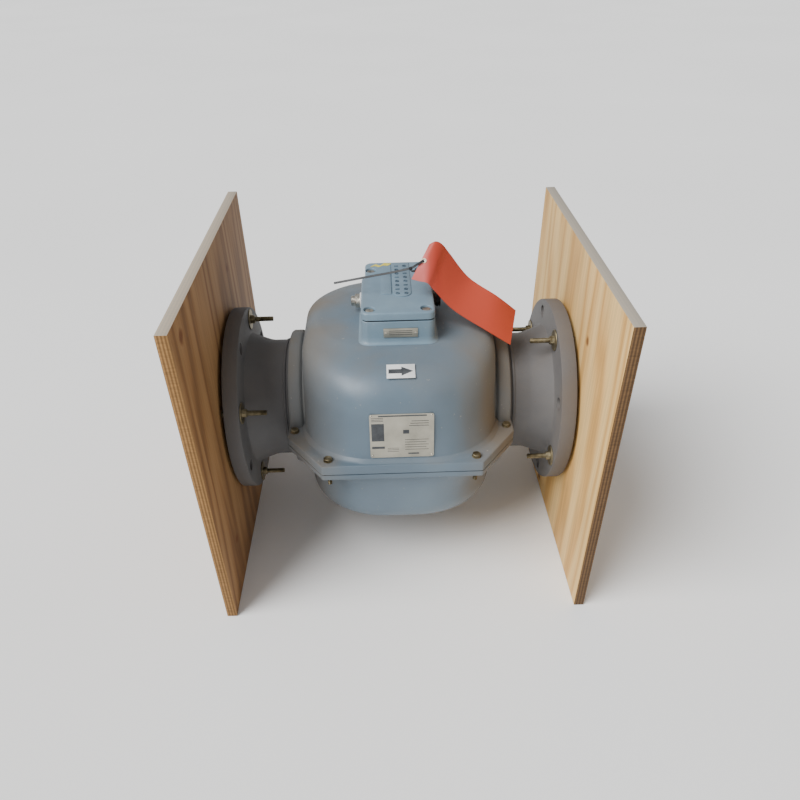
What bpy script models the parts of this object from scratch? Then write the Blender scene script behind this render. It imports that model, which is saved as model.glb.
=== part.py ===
"""In-line ultrasonic gas meter, DN 200 / 8 inch, standing on its two plywood transport covers.

Metres, +Z up, +X along the flow. The world origin is on the floor, midway between the covers.
The parts are modelled about the centre of the pipe, and one empty lifts them to their place.
"""

import math

import bmesh
import bpy
from mathutils import Vector

# Where the centre of the pipe is
AXIS_HEIGHT = 0.273
AXIS_BACK = 0.012

# Pipe and flanges: 8 inch, class 150
FACE_X = 0.305
PIPE_R = 0.1095
BORE_R = 0.1013
FLANGE_R = 0.1715
FLANGE_BACK_X = 0.2764
RAISED_R = 0.135
RAISED_X = 0.3034
HUB_R = 0.123
HUB_END_X = 0.237
WELD_X = 0.2035
HOLE_R = 0.0111
HOLE_CIRCLE_R = 0.14925
HOLE_COUNT = 8
TURN_STEPS = 36

# Housing
WALL = 0.006
SPLIT_Z = -0.003
RIM_TOP_Z = 0.0145
RIM_BOTTOM_Z = -0.0145
RIM_FRONT_Y = 0.2420
RIM_FRONT_X = 0.1350
RIM_SIDE_X = 0.2000
RIM_SIDE_Y = 0.1530
HOUSING_X = 0.1715
HOUSING_Y = 0.2330
HOUSING_CORNER_R = 0.142
RIM_LEVEL_CORNER_R = 0.112
HOUSING_TOP = 0.167
HOUSING_BOTTOM = 0.163
COLLAR_R = 0.127
COLLAR_X = 0.198
PIPE_GAP_R = 0.1100

# Terminal box
BOX_X = 0.0615
BOX_Y = 0.105
BOX_FLOOR_Z = 0.1673
BOX_RIM_Z = 0.2070
LID_BOTTOM_Z = 0.2094
LID_TOP_Z = 0.2225
BOX_REAR_X = 0.0560
BOX_STEP_Y = 0.0365
SCREW_FRONT = (0.0470, -0.0885)
SCREW_REAR = (0.0450, 0.0690)
SCREW_SEAT_Z = 0.2168
ENTRY_Y = 0.018
ENTRY_Z = 0.188
ENTRY_R = 0.0106

# Transport covers
COVER_IN_X = 0.310
COVER_OUT_X = 0.328
COVER_HALF_Y = 0.300
COVER_TOP_LEFT = 0.303
COVER_TOP_RIGHT = 0.295
COVER_BOLT_R = 0.0048
COVER_BOLT_END_X = 0.2324

GAP = 0.0003
INLET_BOLT_TURNS = (-22.5, 67.5, 157.5, 247.5)
OUTLET_BOLT_TURNS = (22.5, 112.5, 202.5, 292.5)


def clearScene():
    for old in list(bpy.data.objects):
        bpy.data.objects.remove(old, do_unlink=True)


def paint(name, colour, roughness, metallic=0.0):
    """A plain surface of the given colour."""
    found = bpy.data.materials.get(name)
    if found:
        return found
    made = bpy.data.materials.new(name)
    made.use_nodes = True
    made.diffuse_color = (*colour, 1)
    shader = made.node_tree.nodes["Principled BSDF"]
    shader.inputs["Base Color"].default_value = (*colour, 1)
    shader.inputs["Roughness"].default_value = roughness
    shader.inputs["Metallic"].default_value = metallic
    return made


clearScene()
pipeCentre = bpy.data.objects.new("pipe_centre", None)
bpy.context.collection.objects.link(pipeCentre)
pipeCentre.location = (0, AXIS_BACK, AXIS_HEIGHT)

housingPaint = paint("housing_enamel", (0.17, 0.23, 0.29), 0.5)
flangePaint = paint("pipe_primer", (0.20, 0.19, 0.19), 0.6)
plywood = paint("plywood", (0.62, 0.40, 0.19), 0.8)
zinc = paint("zinc_steel", (0.42, 0.38, 0.28), 0.45, 0.9)
rubber = paint("black_rubber", (0.03, 0.03, 0.03), 0.8)
lidPaint = paint("box_enamel", (0.21, 0.31, 0.40), 0.45)
screwSteel = paint("screw_steel", (0.60, 0.58, 0.54), 0.35, 1.0)
plugSteel = paint("plug_steel", (0.55, 0.50, 0.44), 0.4, 1.0)
sealWhite = paint("seal_tape", (0.85, 0.85, 0.83), 0.7)
brownPlastic = paint("brown_plastic", (0.10, 0.06, 0.04), 0.5)
plateMetal = paint("plate_metal", (0.55, 0.52, 0.45), 0.4, 0.8)
labelWhite = paint("label_white", (0.85, 0.85, 0.85), 0.5)
tagRed = paint("tag_red", (0.72, 0.10, 0.07), 0.6)
eyeletWhite = paint("eyelet_white", (0.88, 0.84, 0.74), 0.5)
tieBlack = paint("tie_black", (0.02, 0.02, 0.025), 0.5)
probeSteel = paint("probe_steel", (0.62, 0.62, 0.62), 0.3, 1.0)
boardGreen = paint("board_green", (0.04, 0.22, 0.10), 0.5)
blockGrey = paint("block_grey", (0.45, 0.46, 0.45), 0.55)
wireGrey = paint("wire_grey", (0.20, 0.20, 0.21), 0.6)


def place(name, bm, material, at=(0, 0, 0), smooth=35):
    """Closes the edit of a mesh and puts it in the scene as one object."""
    bmesh.ops.recalc_face_normals(bm, faces=bm.faces)
    mesh = bpy.data.meshes.new(name)
    bm.to_mesh(mesh)
    bm.free()
    mesh.shade_smooth()
    mesh.set_sharp_from_angle(angle=math.radians(smooth))
    obj = bpy.data.objects.new(name, mesh)
    obj.data.materials.append(material)
    obj.location = at
    obj.parent = pipeCentre
    bpy.context.collection.objects.link(obj)
    return obj


def asCutter(obj):
    obj.hide_render = True
    obj.display_type = "WIRE"
    return obj


def change(obj, operation, tool, solver="EXACT"):
    """A Boolean of obj with a hidden tool."""
    step = obj.modifiers.new(tool.name, "BOOLEAN")
    step.operation = operation
    step.solver = solver
    step.object = asCutter(tool)


def loft(bm, loops, ring=False):
    """Skins closed loops of equal length, and caps the ends unless the last meets the first."""
    rows = [[bm.verts.new(point) for point in loop] for loop in loops]
    pairs = list(zip(rows, rows[1:]))
    if ring:
        pairs.append((rows[-1], rows[0]))
    count = len(rows[0])
    for low, high in pairs:
        for i in range(count):
            j = (i + 1) % count
            bm.faces.new((low[i], low[j], high[j], high[i]))
    if not ring:
        bm.faces.new(rows[0][::-1])
        bm.faces.new(rows[-1])


def box(name, low, high, material=None, round_=0.0, edges="Z", steps=3):
    """A block between two corners, its upright edges rounded if asked."""
    bm = bmesh.new()
    bmesh.ops.create_cube(bm, size=1)
    size = [b - a for a, b in zip(low, high)]
    middle = [(a + b) / 2 for a, b in zip(low, high)]
    bmesh.ops.scale(bm, vec=size, verts=bm.verts)
    bmesh.ops.translate(bm, vec=middle, verts=bm.verts)
    if round_:
        axis = "XYZ".index(edges)
        chosen = [e for e in bm.edges if abs((e.verts[0].co - e.verts[1].co)[axis]) > 1e-6]
        bmesh.ops.bevel(bm, geom=chosen, offset=round_, segments=steps, profile=0.5, affect="EDGES")
    return place(name, bm, material or housingPaint)


def along(direction):
    """The turn that takes +Z to the given direction."""
    return Vector((0, 0, 1)).rotation_difference(Vector(direction)).to_matrix().to_4x4()


def turned(name, outline, material, steps=TURN_STEPS, direction=(1, 0, 0), at=(0, 0, 0)):
    """A turned piece. The outline holds (distance along the axis, radius) and is closed."""
    bm = bmesh.new()
    angles = [2 * math.pi * i / steps for i in range(steps)]
    loops = [[(r * math.cos(a), r * math.sin(a), z) for a in angles] for z, r in outline]
    loft(bm, loops, ring=True)
    bmesh.ops.transform(bm, matrix=along(direction), verts=bm.verts)
    return place(name, bm, material, at)


def stacked(name, sections, material, direction=(0, 0, 1), at=(0, 0, 0), ring=False, steps=12):
    """A fastener or other round body from (distance, radius, kind), kind being round or hex."""
    bm = bmesh.new()
    angles = [2 * math.pi * i / steps for i in range(steps)]
    loops = []
    for z, radius, kind in sections:
        loop = []
        for i, angle in enumerate(angles):
            r = radius * math.cos(math.pi / 6) if kind == "hex" and i % 2 else radius
            loop.append((r * math.cos(angle), r * math.sin(angle), z))
        loops.append(loop)
    loft(bm, loops, ring)
    bmesh.ops.transform(bm, matrix=along(direction), verts=bm.verts)
    return place(name, bm, material, at, smooth=32)


def cylinderTool(name, radius, start, end, steps=24):
    """A hidden round cutter between two points."""
    start = Vector(start)
    end = Vector(end)
    bm = bmesh.new()
    length = (end - start).length
    bmesh.ops.create_cone(
        bm, cap_ends=True, segments=steps, radius1=radius, radius2=radius, depth=length
    )
    bmesh.ops.transform(bm, matrix=along(end - start), verts=bm.verts)
    return place(name, bm, housingPaint, (start + end) / 2)


def prism(name, corners, low, high, material):
    """An upright prism over a plan of corners."""
    bm = bmesh.new()
    loft(bm, [[(x, y, z) for x, y in corners] for z in (low, high)])
    return place(name, bm, material)


def roundedPlan(halfX, halfY, radius, z, steps=6):
    """A rectangle with round corners at one height."""
    loop = []
    for quarter, (sx, sy) in enumerate(((1, 1), (-1, 1), (-1, -1), (1, -1))):
        for i in range(steps + 1):
            angle = math.pi / 2 * (quarter + i / steps)
            x = sx * (halfX - radius) + radius * math.cos(angle)
            y = sy * (halfY - radius) + radius * math.sin(angle)
            loop.append((x, y, z))
    return loop


def boxPlan(inset, z, steps=4):
    """The terminal box's outline, inset by a distance: a rectangle whose rear corners are set back."""
    wide, narrow, step = BOX_X - inset, BOX_REAR_X - inset, BOX_STEP_Y - inset
    front, rear = inset - BOX_Y, BOX_Y - inset
    corner, edge = max(0.012 - inset, 0.001), max(0.004 - inset, 0.0005)
    half = ((wide, front, corner), (wide, step, edge), (narrow, step, 0.001 + inset), (narrow, rear, corner))
    points = [*half, *((-x, y, r) for x, y, r in half[::-1])]
    loop = []
    for i, (x, y, radius) in enumerate(points):
        here = Vector((x, y, z))
        back = (Vector((*points[i - 1][:2], z)) - here).normalized() * radius
        ahead = (Vector((*points[(i + 1) % len(points)][:2], z)) - here).normalized() * radius
        for k in range(steps + 1):
            turn = math.pi / 2 * k / steps
            loop.append(here + back + ahead - ahead * math.cos(turn) - back * math.sin(turn))
    return loop


def boxBody(name, inset, low, high, material):
    """A closed prism with the terminal box's outline."""
    bm = bmesh.new()
    loft(bm, [boxPlan(inset, low), boxPlan(inset, high)])
    return place(name, bm, material)


def screwSpots():
    """Plan positions of the four lid screws, counter-clockwise from the front left."""
    (frontX, frontY), (rearX, rearY) = SCREW_FRONT, SCREW_REAR
    return ((-frontX, frontY), (frontX, frontY), (rearX, rearY), (-rearX, rearY))


def housingLevels(height, hip, slope, sideRound, inset):
    """(height, half length, half depth) up one shell: a drafted wall, a round hip, a sloping top."""
    halfX = HOUSING_X - inset
    top = height - inset
    flatY = 0.117 - inset
    hipY = HOUSING_Y - inset - 0.088 * (top - 0.03)
    hipZ = top - slope * (hipY - flatY)
    bend = math.atan(1 / slope)
    start = hipZ - hip * math.tan(bend / 2)
    profile = [(0.0, HOUSING_Y - inset)]
    for i in range(5):
        angle = bend * i / 4
        profile.append((start + hip * math.sin(angle), hipY - hip * (1 - math.cos(angle))))
    last = profile[-1][1]
    for share in (0.45, 0.8, 1.0):
        y = last + (flatY - last) * share
        profile.append((top - slope * (y - flatY), y))
    levels = []
    for z, y in profile:
        rise = max(0.0, z - (top - sideRound))
        x = halfX - 0.018 * z - sideRound + math.sqrt(max(0.0, sideRound**2 - rise**2))
        levels.append((z, x, y))
    return levels


def housingBody(name, height, side, inset, overlap=0.0):
    """The closed outline of one shell, above (side 1) or below (side -1) the pipe centre."""
    hip, slope, sideRound = (0.073, 0.1875, 0.033) if side > 0 else (0.060, 0.225, 0.030)
    levels = housingLevels(height, hip - inset, slope, sideRound - inset, inset)
    bm = bmesh.new()
    loops = []
    for index, (z, x, y) in enumerate(levels):
        corner = HOUSING_CORNER_R - (HOUSING_CORNER_R - RIM_LEVEL_CORNER_R) * max(0.0, 1 - z / 0.060)
        radius = min((corner - inset) * x / levels[0][1], y - 0.001)
        loops.append(roundedPlan(x, y, radius, z * side if index else -overlap * side, 5))
    loft(bm, loops)
    return place(name, bm, housingPaint)


def rimCorners(inset=0.0):
    """The eight-cornered outline of the bolted rim."""
    quarter = (
        (RIM_FRONT_X - inset / 2, RIM_FRONT_Y - inset),
        (RIM_SIDE_X - inset, RIM_SIDE_Y - inset / 2),
    )
    corners = []
    for sx, sy in ((1, -1), (1, 1), (-1, 1), (-1, -1)):
        pair = quarter if sx * sy < 0 else quarter[::-1]
        corners.extend((sx * x, sy * y) for x, y in pair)
    return corners


def housingBolts():
    """Plan positions of the eight housing bolts, front first, then clockwise from above."""
    front = (0.125, 0.2240)
    side = (0.1880, 0.1385)
    spots = []
    for sy in (-1, 1):
        spots.extend((sx * front[0], sy * front[1]) for sx in (-1, 1))
        spots.extend((sx * side[0], sy * side[1]) for sx in (-1, 1))
    return spots


def housingShell(name, side):
    """One cast shell: hollow body, rim, and a half collar round the pipe at each end."""
    height = HOUSING_TOP if side > 0 else HOUSING_BOTTOM
    seam = SPLIT_Z + 0.0009 * side
    rimEnd = RIM_TOP_Z if side > 0 else RIM_BOTTOM_Z
    shell = housingBody(name, height, side, 0.0, overlap=0.03)
    far = HOUSING_TOP + 0.1
    rimSpan = sorted((-0.02 * side, rimEnd))
    change(shell, "UNION", prism(name + "_rim", rimCorners(), *rimSpan, housingPaint))
    collar = (
        (-COLLAR_X, COLLAR_R - 0.005), (-COLLAR_X, 0.05), (COLLAR_X, 0.05), (COLLAR_X, COLLAR_R - 0.005),
        (COLLAR_X - 0.005, COLLAR_R), (COLLAR_X - 0.020, COLLAR_R), (COLLAR_X - 0.024, COLLAR_R - 0.006),
        (-COLLAR_X + 0.024, COLLAR_R - 0.006), (-COLLAR_X + 0.020, COLLAR_R), (-COLLAR_X + 0.005, COLLAR_R),
    )
    change(shell, "UNION", turned(name + "_collar", collar, housingPaint))
    change(shell, "DIFFERENCE", housingBody(name + "_inside", height, side, WALL, overlap=0.04))
    beyond = sorted((seam, -far * side))
    change(shell, "DIFFERENCE", box(name + "_half", (-0.3, -0.3, beyond[0]), (0.3, 0.3, beyond[1])))
    bore = cylinderTool(name + "_bore", PIPE_GAP_R, (-0.3, 0, 0), (0.3, 0, 0), TURN_STEPS)
    change(shell, "DIFFERENCE", bore, "MANIFOLD")
    for number, (x, y) in enumerate(housingBolts()):
        hole = cylinderTool(f"{name}_hole_{number}", 0.0045, (x, y, -0.03), (x, y, 0.03), 8)
        change(shell, "DIFFERENCE", hole, "MANIFOLD")
    return shell


def housingGasket(name, side):
    """The C-shaped gasket on one side of the pipe, between the rims."""
    inset = 0.002
    inner = PIPE_R + 0.003
    outline = [(x, y) for x, y in rimCorners(inset) if y * side > 0]
    outline.sort(key=lambda point: math.atan2(point[1] * side, point[0]))
    edge = RIM_SIDE_X - inset
    outline = [(edge, inner * side), *outline, (-edge, inner * side)]
    gasket = prism(name, outline[::side], SPLIT_Z - 0.0006, SPLIT_Z + 0.0006, rubber)
    bm = bmesh.new()
    corner = RIM_LEVEL_CORNER_R - WALL
    loft(bm, [roundedPlan(HOUSING_X - WALL, HOUSING_Y - WALL, corner, z, 5) for z in (-0.02, 0.02)])
    change(gasket, "DIFFERENCE", place(name + "_inside", bm, rubber))
    for number, (x, y) in enumerate(housingBolts()):
        if y * side > 0:
            hole = cylinderTool(f"{name}_hole_{number}", 0.0045, (x, y, -0.03), (x, y, 0.03), 8)
            change(gasket, "DIFFERENCE", hole)


def makeHousing():
    upper = housingShell("upper_housing", 1)
    wireWay = cylinderTool("wire_way", 0.009, (0, 0.045, 0.14), (0, 0.045, 0.19), 12)
    change(upper, "DIFFERENCE", wireWay, "MANIFOLD")
    housingShell("lower_housing", -1)
    housingGasket("front_gasket", -1)
    housingGasket("rear_gasket", 1)
    low = RIM_BOTTOM_Z - GAP
    high = RIM_TOP_Z + GAP
    sections = (
        (low - 0.0215, 0.0038, "round"), (low - 0.0065, 0.0038, "round"), (low - 0.0065, 0.0075, "hex"),
        (low, 0.0075, "hex"), (low, 0.0038, "round"), (high, 0.0038, "round"),
        (high, 0.0075, "hex"), (high + 0.0053, 0.0075, "hex"),
    )
    for number, (x, y) in enumerate(housingBolts(), 1):
        stacked(f"housing_bolt_{number}", sections, zinc, at=(x, y, 0))


def flangeHole(turn):
    angle = math.radians(turn)
    return -HOLE_CIRCLE_R * math.sin(angle), HOLE_CIRCLE_R * math.cos(angle)


def makeFlange(name, side):
    """A weld-neck flange with a raised face and eight bolt holes."""
    outline = (
        (WELD_X, BORE_R), (WELD_X, PIPE_R), (HUB_END_X, PIPE_R), (FLANGE_BACK_X, HUB_R),
        (FLANGE_BACK_X, FLANGE_R - 0.002), (FLANGE_BACK_X + 0.002, FLANGE_R),
        (RAISED_X - 0.002, FLANGE_R), (RAISED_X, FLANGE_R - 0.002),
        (RAISED_X, RAISED_R), (FACE_X, RAISED_R), (FACE_X, BORE_R),
    )
    flange = turned(name, outline, flangePaint, direction=(side, 0, 0))
    for number in range(HOLE_COUNT):
        y, z = flangeHole(360 / HOLE_COUNT * (number + 0.5))
        ends = ((side * 0.25, y, z), (side * 0.32, y, z))
        change(flange, "DIFFERENCE", cylinderTool(f"{name}_hole_{number}", HOLE_R, *ends, 12))


# Where the paths of the transducers leave the pipe: 60 degrees to the flow, at two heights
PATH_COS = 0.5
PATH_SIN = math.sqrt(1 - PATH_COS**2)
PATH_HEIGHT = 0.035
TRANSDUCERS = ((-1, -1, 1), (1, 1, 1), (1, -1, -1), (-1, 1, -1))


def pathPoint(sx, sy, level, distance):
    return Vector((sx * PATH_COS * distance, sy * PATH_SIN * distance, level * PATH_HEIGHT))


def makePipe():
    """The measuring pipe with its transducer nozzles and probe boss."""
    end = WELD_X - 0.0003
    outline = ((-end, 0.03), (-end, PIPE_R), (end, PIPE_R), (end, 0.03))
    pipe = turned("measuring_pipe", outline, flangePaint)
    for number, spot in enumerate(TRANSDUCERS):
        nozzle = cylinderTool(f"nozzle_{number}", 0.016, pathPoint(*spot, 0.08), pathPoint(*spot, 0.168), 16)
        change(pipe, "UNION", nozzle)
    boss = cylinderTool("probe_boss", 0.013, (0.08, 0, 0.08), (0.08, 0, 0.124), 16)
    change(pipe, "UNION", boss)
    bore = cylinderTool("pipe_bore", BORE_R, (-0.3, 0, 0), (0.3, 0, 0), TURN_STEPS)
    change(pipe, "DIFFERENCE", bore)
    for number, spot in enumerate(TRANSDUCERS):
        ends = (pathPoint(*spot, 0.07), pathPoint(*spot, 0.18))
        hole = cylinderTool(f"nozzle_bore_{number}", 0.0112, *ends, 14)
        change(pipe, "DIFFERENCE", hole)
    change(pipe, "DIFFERENCE", cylinderTool("probe_bore", 0.0052, (0.08, 0, 0.07), (0.08, 0, 0.14), 12))


def makeInstruments():
    """Transducers, temperature probe, preamplifier and the harness up to the terminal box."""
    body = (
        (0.122, 0.0105, "round"), (0.1685, 0.0105, "round"),
        (0.1685, 0.0155, "round"), (0.177, 0.0155, "round"),
        (0.177, 0.0115, "hex"), (0.186, 0.0115, "hex"), (0.186, 0.009, "round"), (0.206, 0.009, "round"),
        (0.206, 0.0045, "round"), (0.214, 0.0045, "round"),
    )
    for number, (sx, sy, level) in enumerate(TRANSDUCERS, 1):
        direction = (sx * PATH_COS, sy * PATH_SIN, 0)
        at = (0, 0, level * PATH_HEIGHT)
        stacked(f"transducer_{number}", body, probeSteel, direction, at)
    probe = (
        (0.045, 0.002, "round"), (0.047, 0.004, "round"), (0.1243, 0.004, "round"), (0.1243, 0.012, "hex"),
        (0.133, 0.012, "hex"), (0.133, 0.007, "round"), (0.150, 0.006, "round"),
    )
    stacked("temperature_probe", probe, probeSteel, at=(0.08, 0, 0))

    strapRing = ((-0.125, 0.1100), (-0.125, 0.1120), (-0.105, 0.1120), (-0.105, 0.1100))
    saddle = turned("board_bracket", strapRing, zinc)
    change(saddle, "UNION", box("bracket_post", (-0.120, -0.006, 0.1106), (-0.110, 0.006, 0.128), zinc))
    board = box("preamplifier_board", (-0.128, -0.045, 0.1283), (-0.040, 0.045, 0.1299), boardGreen)
    can = box("shield_can", (-0.105, -0.030, 0.1295), (-0.060, 0.020, 0.1375), boardGreen, 0.003)
    change(board, "UNION", can)

    bm = bmesh.new()
    route = (
        (-0.045, 0.030, 0.1345), (-0.030, 0.038, 0.1400), (-0.012, 0.044, 0.1450), (-0.002, 0.045, 0.1530),
        (0, 0.045, 0.1650), (0, 0.043, 0.1760), (0.001, 0.034, 0.1850),
        (0.001, 0.020, 0.1880), (0.001, 0.004, 0.1860),
    )
    points = [Vector(p) for p in route]
    loops = []
    for i, point in enumerate(points):
        ahead = points[min(i + 1, len(points) - 1)] - points[max(i - 1, 0)]
        side = ahead.cross(Vector((0, 1, 0.3))).normalized()
        up = side.cross(ahead).normalized()
        angles = [2 * math.pi * k / 10 for k in range(10)]
        loops.append([point + 0.0042 * (side * math.cos(a) + up * math.sin(a)) for a in angles])
    loft(bm, loops)
    place("signal_harness", bm, wireGrey)


def makeTerminalBox():
    """Open box with corner posts, a lid gasket and a terminal block."""
    wall = 0.005
    base = boxBody("terminal_box", 0.0, BOX_FLOOR_Z, BOX_RIM_Z, lidPaint)
    change(base, "DIFFERENCE", boxBody("box_hollow", wall, BOX_FLOOR_Z + wall, 0.25, lidPaint))
    for number, (x, y) in enumerate(screwSpots()):
        sx = math.copysign(1, x)
        ends = sorted((x - sx * 0.006, x + sx * 0.0075))
        post = box(
            f"post_{number}", (ends[0], y - 0.006, BOX_FLOOR_Z + 0.001), (ends[1], y + 0.006, BOX_RIM_Z),
            lidPaint,
        )
        change(base, "UNION", post)
        postHole = cylinderTool(f"post_hole_{number}", 0.0027, (x, y, 0.185), (x, y, 0.22), 10)
        change(base, "DIFFERENCE", postHole)
    for number, sx in enumerate((-1, 1)):
        ends = ((sx * 0.05, ENTRY_Y, ENTRY_Z), (sx * 0.07, ENTRY_Y, ENTRY_Z))
        change(base, "DIFFERENCE", cylinderTool(f"entry_{number}", ENTRY_R, *ends, 16))
    change(base, "DIFFERENCE", cylinderTool("floor_hole", 0.009, (0, 0.045, 0.16), (0, 0.045, 0.18), 12))

    seal = boxBody("lid_gasket", 0.0020, BOX_RIM_Z + GAP, LID_BOTTOM_Z - GAP, rubber)
    window = boxBody("seal_window", 0.0065, 0.2, 0.22, rubber)
    change(seal, "DIFFERENCE", window)

    steps = ((-0.040, 0.1726), (-0.008, 0.1726), (-0.008, 0.178), (-0.016, 0.178), (-0.016, 0.184),
             (-0.032, 0.184), (-0.032, 0.178), (-0.040, 0.178))
    bm = bmesh.new()
    loft(bm, [[(x, y, z) for y, z in steps] for x in (-0.040, 0.040)])
    place("terminal_block", bm, blockGrey)


def makeLid():
    """The lid with screw pockets, a raised strip with one round end, and a low pad beside it."""
    bm = bmesh.new()
    edge = 0.003
    levels = ((0, LID_BOTTOM_Z), (0, LID_TOP_Z - edge), (0.001, LID_TOP_Z - 0.001), (edge, LID_TOP_Z))
    loops = [boxPlan(inset, z) for inset, z in levels]
    loft(bm, loops)
    lid = place("terminal_box_lid", bm, lidPaint, smooth=50)
    hollow = box("lid_hollow", (-0.036, -0.096, 0.2), (0.036, 0.096, 0.2178), lidPaint, 0.004)
    change(lid, "DIFFERENCE", hollow)
    middle, half, front, rear = 0.0085, 0.0162, -0.029, 0.099
    arc = [math.pi + math.pi * i / 10 for i in range(11)]
    strip = [(middle + half * math.cos(a), front + half * math.sin(a)) for a in arc]
    strip += [(middle + half, rear), (middle - half, rear)]
    change(lid, "UNION", prism("lid_strip", strip, LID_TOP_Z - 0.002, LID_TOP_Z + 0.0015, lidPaint))
    pad = box("lid_pad", (-0.0275, -0.034, LID_TOP_Z - 0.002), (-0.0095, 0.053, LID_TOP_Z + 0.0008), lidPaint)
    change(lid, "UNION", pad)
    for number, (x, y) in enumerate(screwSpots()):
        pocket = cylinderTool(f"pocket_{number}", 0.0096, (x, y, SCREW_SEAT_Z - GAP), (x, y, 0.23), 16)
        change(lid, "DIFFERENCE", pocket)
        change(lid, "DIFFERENCE", cylinderTool(f"lid_hole_{number}", 0.0029, (x, y, 0.2), (x, y, 0.23), 10))
        makeLidScrew(f"lid_screw_{number + 1}", x, y)


def makeLidScrew(name, x, y):
    """A slotted cheese-head screw, its origin on its own axis."""
    low = SCREW_SEAT_Z
    sections = (
        (-0.0245, 0.0018, "round"), (-0.0235, 0.0024, "round"), (0, 0.0024, "round"),
        (0, 0.0074, "round"), (0.0034, 0.0074, "round"), (0.0046, 0.0060, "round"),
    )
    screw = stacked(name, sections, screwSteel, at=(x, y, low))
    slot = box(name + "_slot", (x - 0.010, y - 0.0007, low + 0.0028), (x + 0.010, y + 0.0007, low + 0.01))
    change(screw, "DIFFERENCE", slot)


def makeEntries():
    """The blanking plug with its sealing ring on the left, the cable entry cap on the right."""
    face = BOX_X + GAP
    at = (0, ENTRY_Y, ENTRY_Z)
    ring = ((face, 0.0106), (face, 0.0140), (face + 0.0035, 0.0145), (face + 0.0035, 0.0106))
    turned("plug_seal", ring, sealWhite, 20, (-1, 0, 0), at)
    plug = (
        (0.0535, 0.0093, "round"), (0.0545, 0.0102, "round"), (face + 0.0038, 0.0102, "round"),
        (face + 0.0038, 0.0127, "hex"), (0.0745, 0.0127, "hex"), (0.0745, 0.0088, "round"),
        (0.0815, 0.0082, "round"),
    )
    stacked("blanking_plug", plug, plugSteel, (-1, 0, 0), at)
    cap = (
        (0.0575, 0.0102, "round"), (face, 0.0102, "round"), (face, 0.0150, "hex"), (0.0690, 0.0150, "hex"),
        (0.0690, 0.0120, "round"), (0.0770, 0.0120, "round"),
        (0.0770, 0.0142, "round"), (0.0785, 0.0142, "round"),
    )
    stacked("cable_entry_cap", cap, brownPlastic, (1, 0, 0), at)


def makePlates():
    """Nameplate, small plate on the terminal box, and arrow label."""
    plate = box("nameplate", (-0.0525, -0.0005, -0.0400), (0.0525, 0.0003, 0.0400), plateMetal, 0.003, "Y", 2)
    plate.rotation_euler = (-math.radians(8.0), 0, 0)
    plate.location = (0, -0.2252, 0.0628)
    box("box_plate", (-0.0250, -0.1066, 0.1790), (0.0320, -BOX_Y - GAP, 0.1955), plateMetal, 0.002, "Y", 2)
    label = box("arrow_label", (-0.0230, -0.0140, 0), (0.0230, 0.0140, 0.0004), labelWhite)
    label.rotation_euler = (math.radians(20.8), 0, 0)
    label.location = (0.0010, -0.1770, 0.1560)


def makeCover(name, side, top, turns):
    """A plywood cover with four bolt holes, its face gasket, and its bolts and nuts."""
    middle = -AXIS_BACK
    ends = sorted((side * COVER_IN_X, side * COVER_OUT_X))
    cover = box(
        name + "_cover", (ends[0], middle - COVER_HALF_Y, -AXIS_HEIGHT), (ends[1], middle + COVER_HALF_Y, top),
        plywood,
    )
    near, far = FACE_X + GAP, COVER_IN_X - GAP
    ring = ((near, 0.1045), (near, 0.1320), (far, 0.1320), (far, 0.1045))
    turned(name + "_face_gasket", ring, rubber, 32, (side, 0, 0))
    out = COVER_OUT_X + GAP
    bolt = (
        (COVER_BOLT_END_X, COVER_BOLT_R, "round"), (out, COVER_BOLT_R, "round"), (out, 0.019, "round"),
        (out + 0.0018, 0.019, "round"), (out + 0.0018, 0.00825, "hex"), (out + 0.0080, 0.00825, "hex"),
    )
    back = FLANGE_BACK_X - GAP
    bore = COVER_BOLT_R + GAP
    nut = (
        (back, bore, "round"), (back - 0.0096, bore, "round"), (back - 0.0096, 0.00825, "hex"),
        (back - 0.0018, 0.00825, "hex"), (back - 0.0018, 0.019, "round"), (back, 0.019, "round"),
    )
    for number, turn in enumerate(turns, 1):
        y, z = flangeHole(turn)
        ends = ((side * 0.29, y, z), (side * 0.34, y, z))
        hole = cylinderTool(f"{name}_cover_hole_{number}", 0.0053, *ends, 12)
        change(cover, "DIFFERENCE", hole)
        stacked(f"{name}_cover_bolt_{number}", bolt, zinc, (side, 0, 0), (0, y, z))
        stacked(f"{name}_cover_nut_{number}", nut, zinc, (side, 0, 0), (0, y, z), ring=True)


def smoothRoute(route, count):
    """Points along a smooth curve through the given ones."""
    points = [Vector(p) for p in route]
    made = []
    for i in range(len(points) - 1):
        before = points[max(i - 1, 0)]
        start, end = points[i], points[i + 1]
        after = points[min(i + 2, len(points) - 1)]
        for k in range(count):
            t = k / count
            made.append(
                0.5 * (2 * start + (end - before) * t + (2 * before - 5 * start + 4 * end - after) * t**2
                       + (3 * start - before - 3 * end + after) * t**3)
            )
    return [*made, points[-1]]


def band(name, edges, thickness, material, cells=1):
    """A thin band between two long edges, given as pairs of points, with a Solidify modifier."""
    bm = bmesh.new()
    rows = [[bm.verts.new(low.lerp(high, k / cells)) for k in range(cells + 1)] for low, high in edges]
    for near, far in zip(rows, rows[1:]):
        for k in range(cells):
            bm.faces.new((near[k], near[k + 1], far[k + 1], far[k]))
    bmesh.ops.triangulate(bm, faces=bm.faces)
    made = place(name, bm, material)
    solidify = made.modifiers.new("thickness", "SOLIDIFY")
    solidify.thickness = thickness
    solidify.offset = 0
    return made


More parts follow.
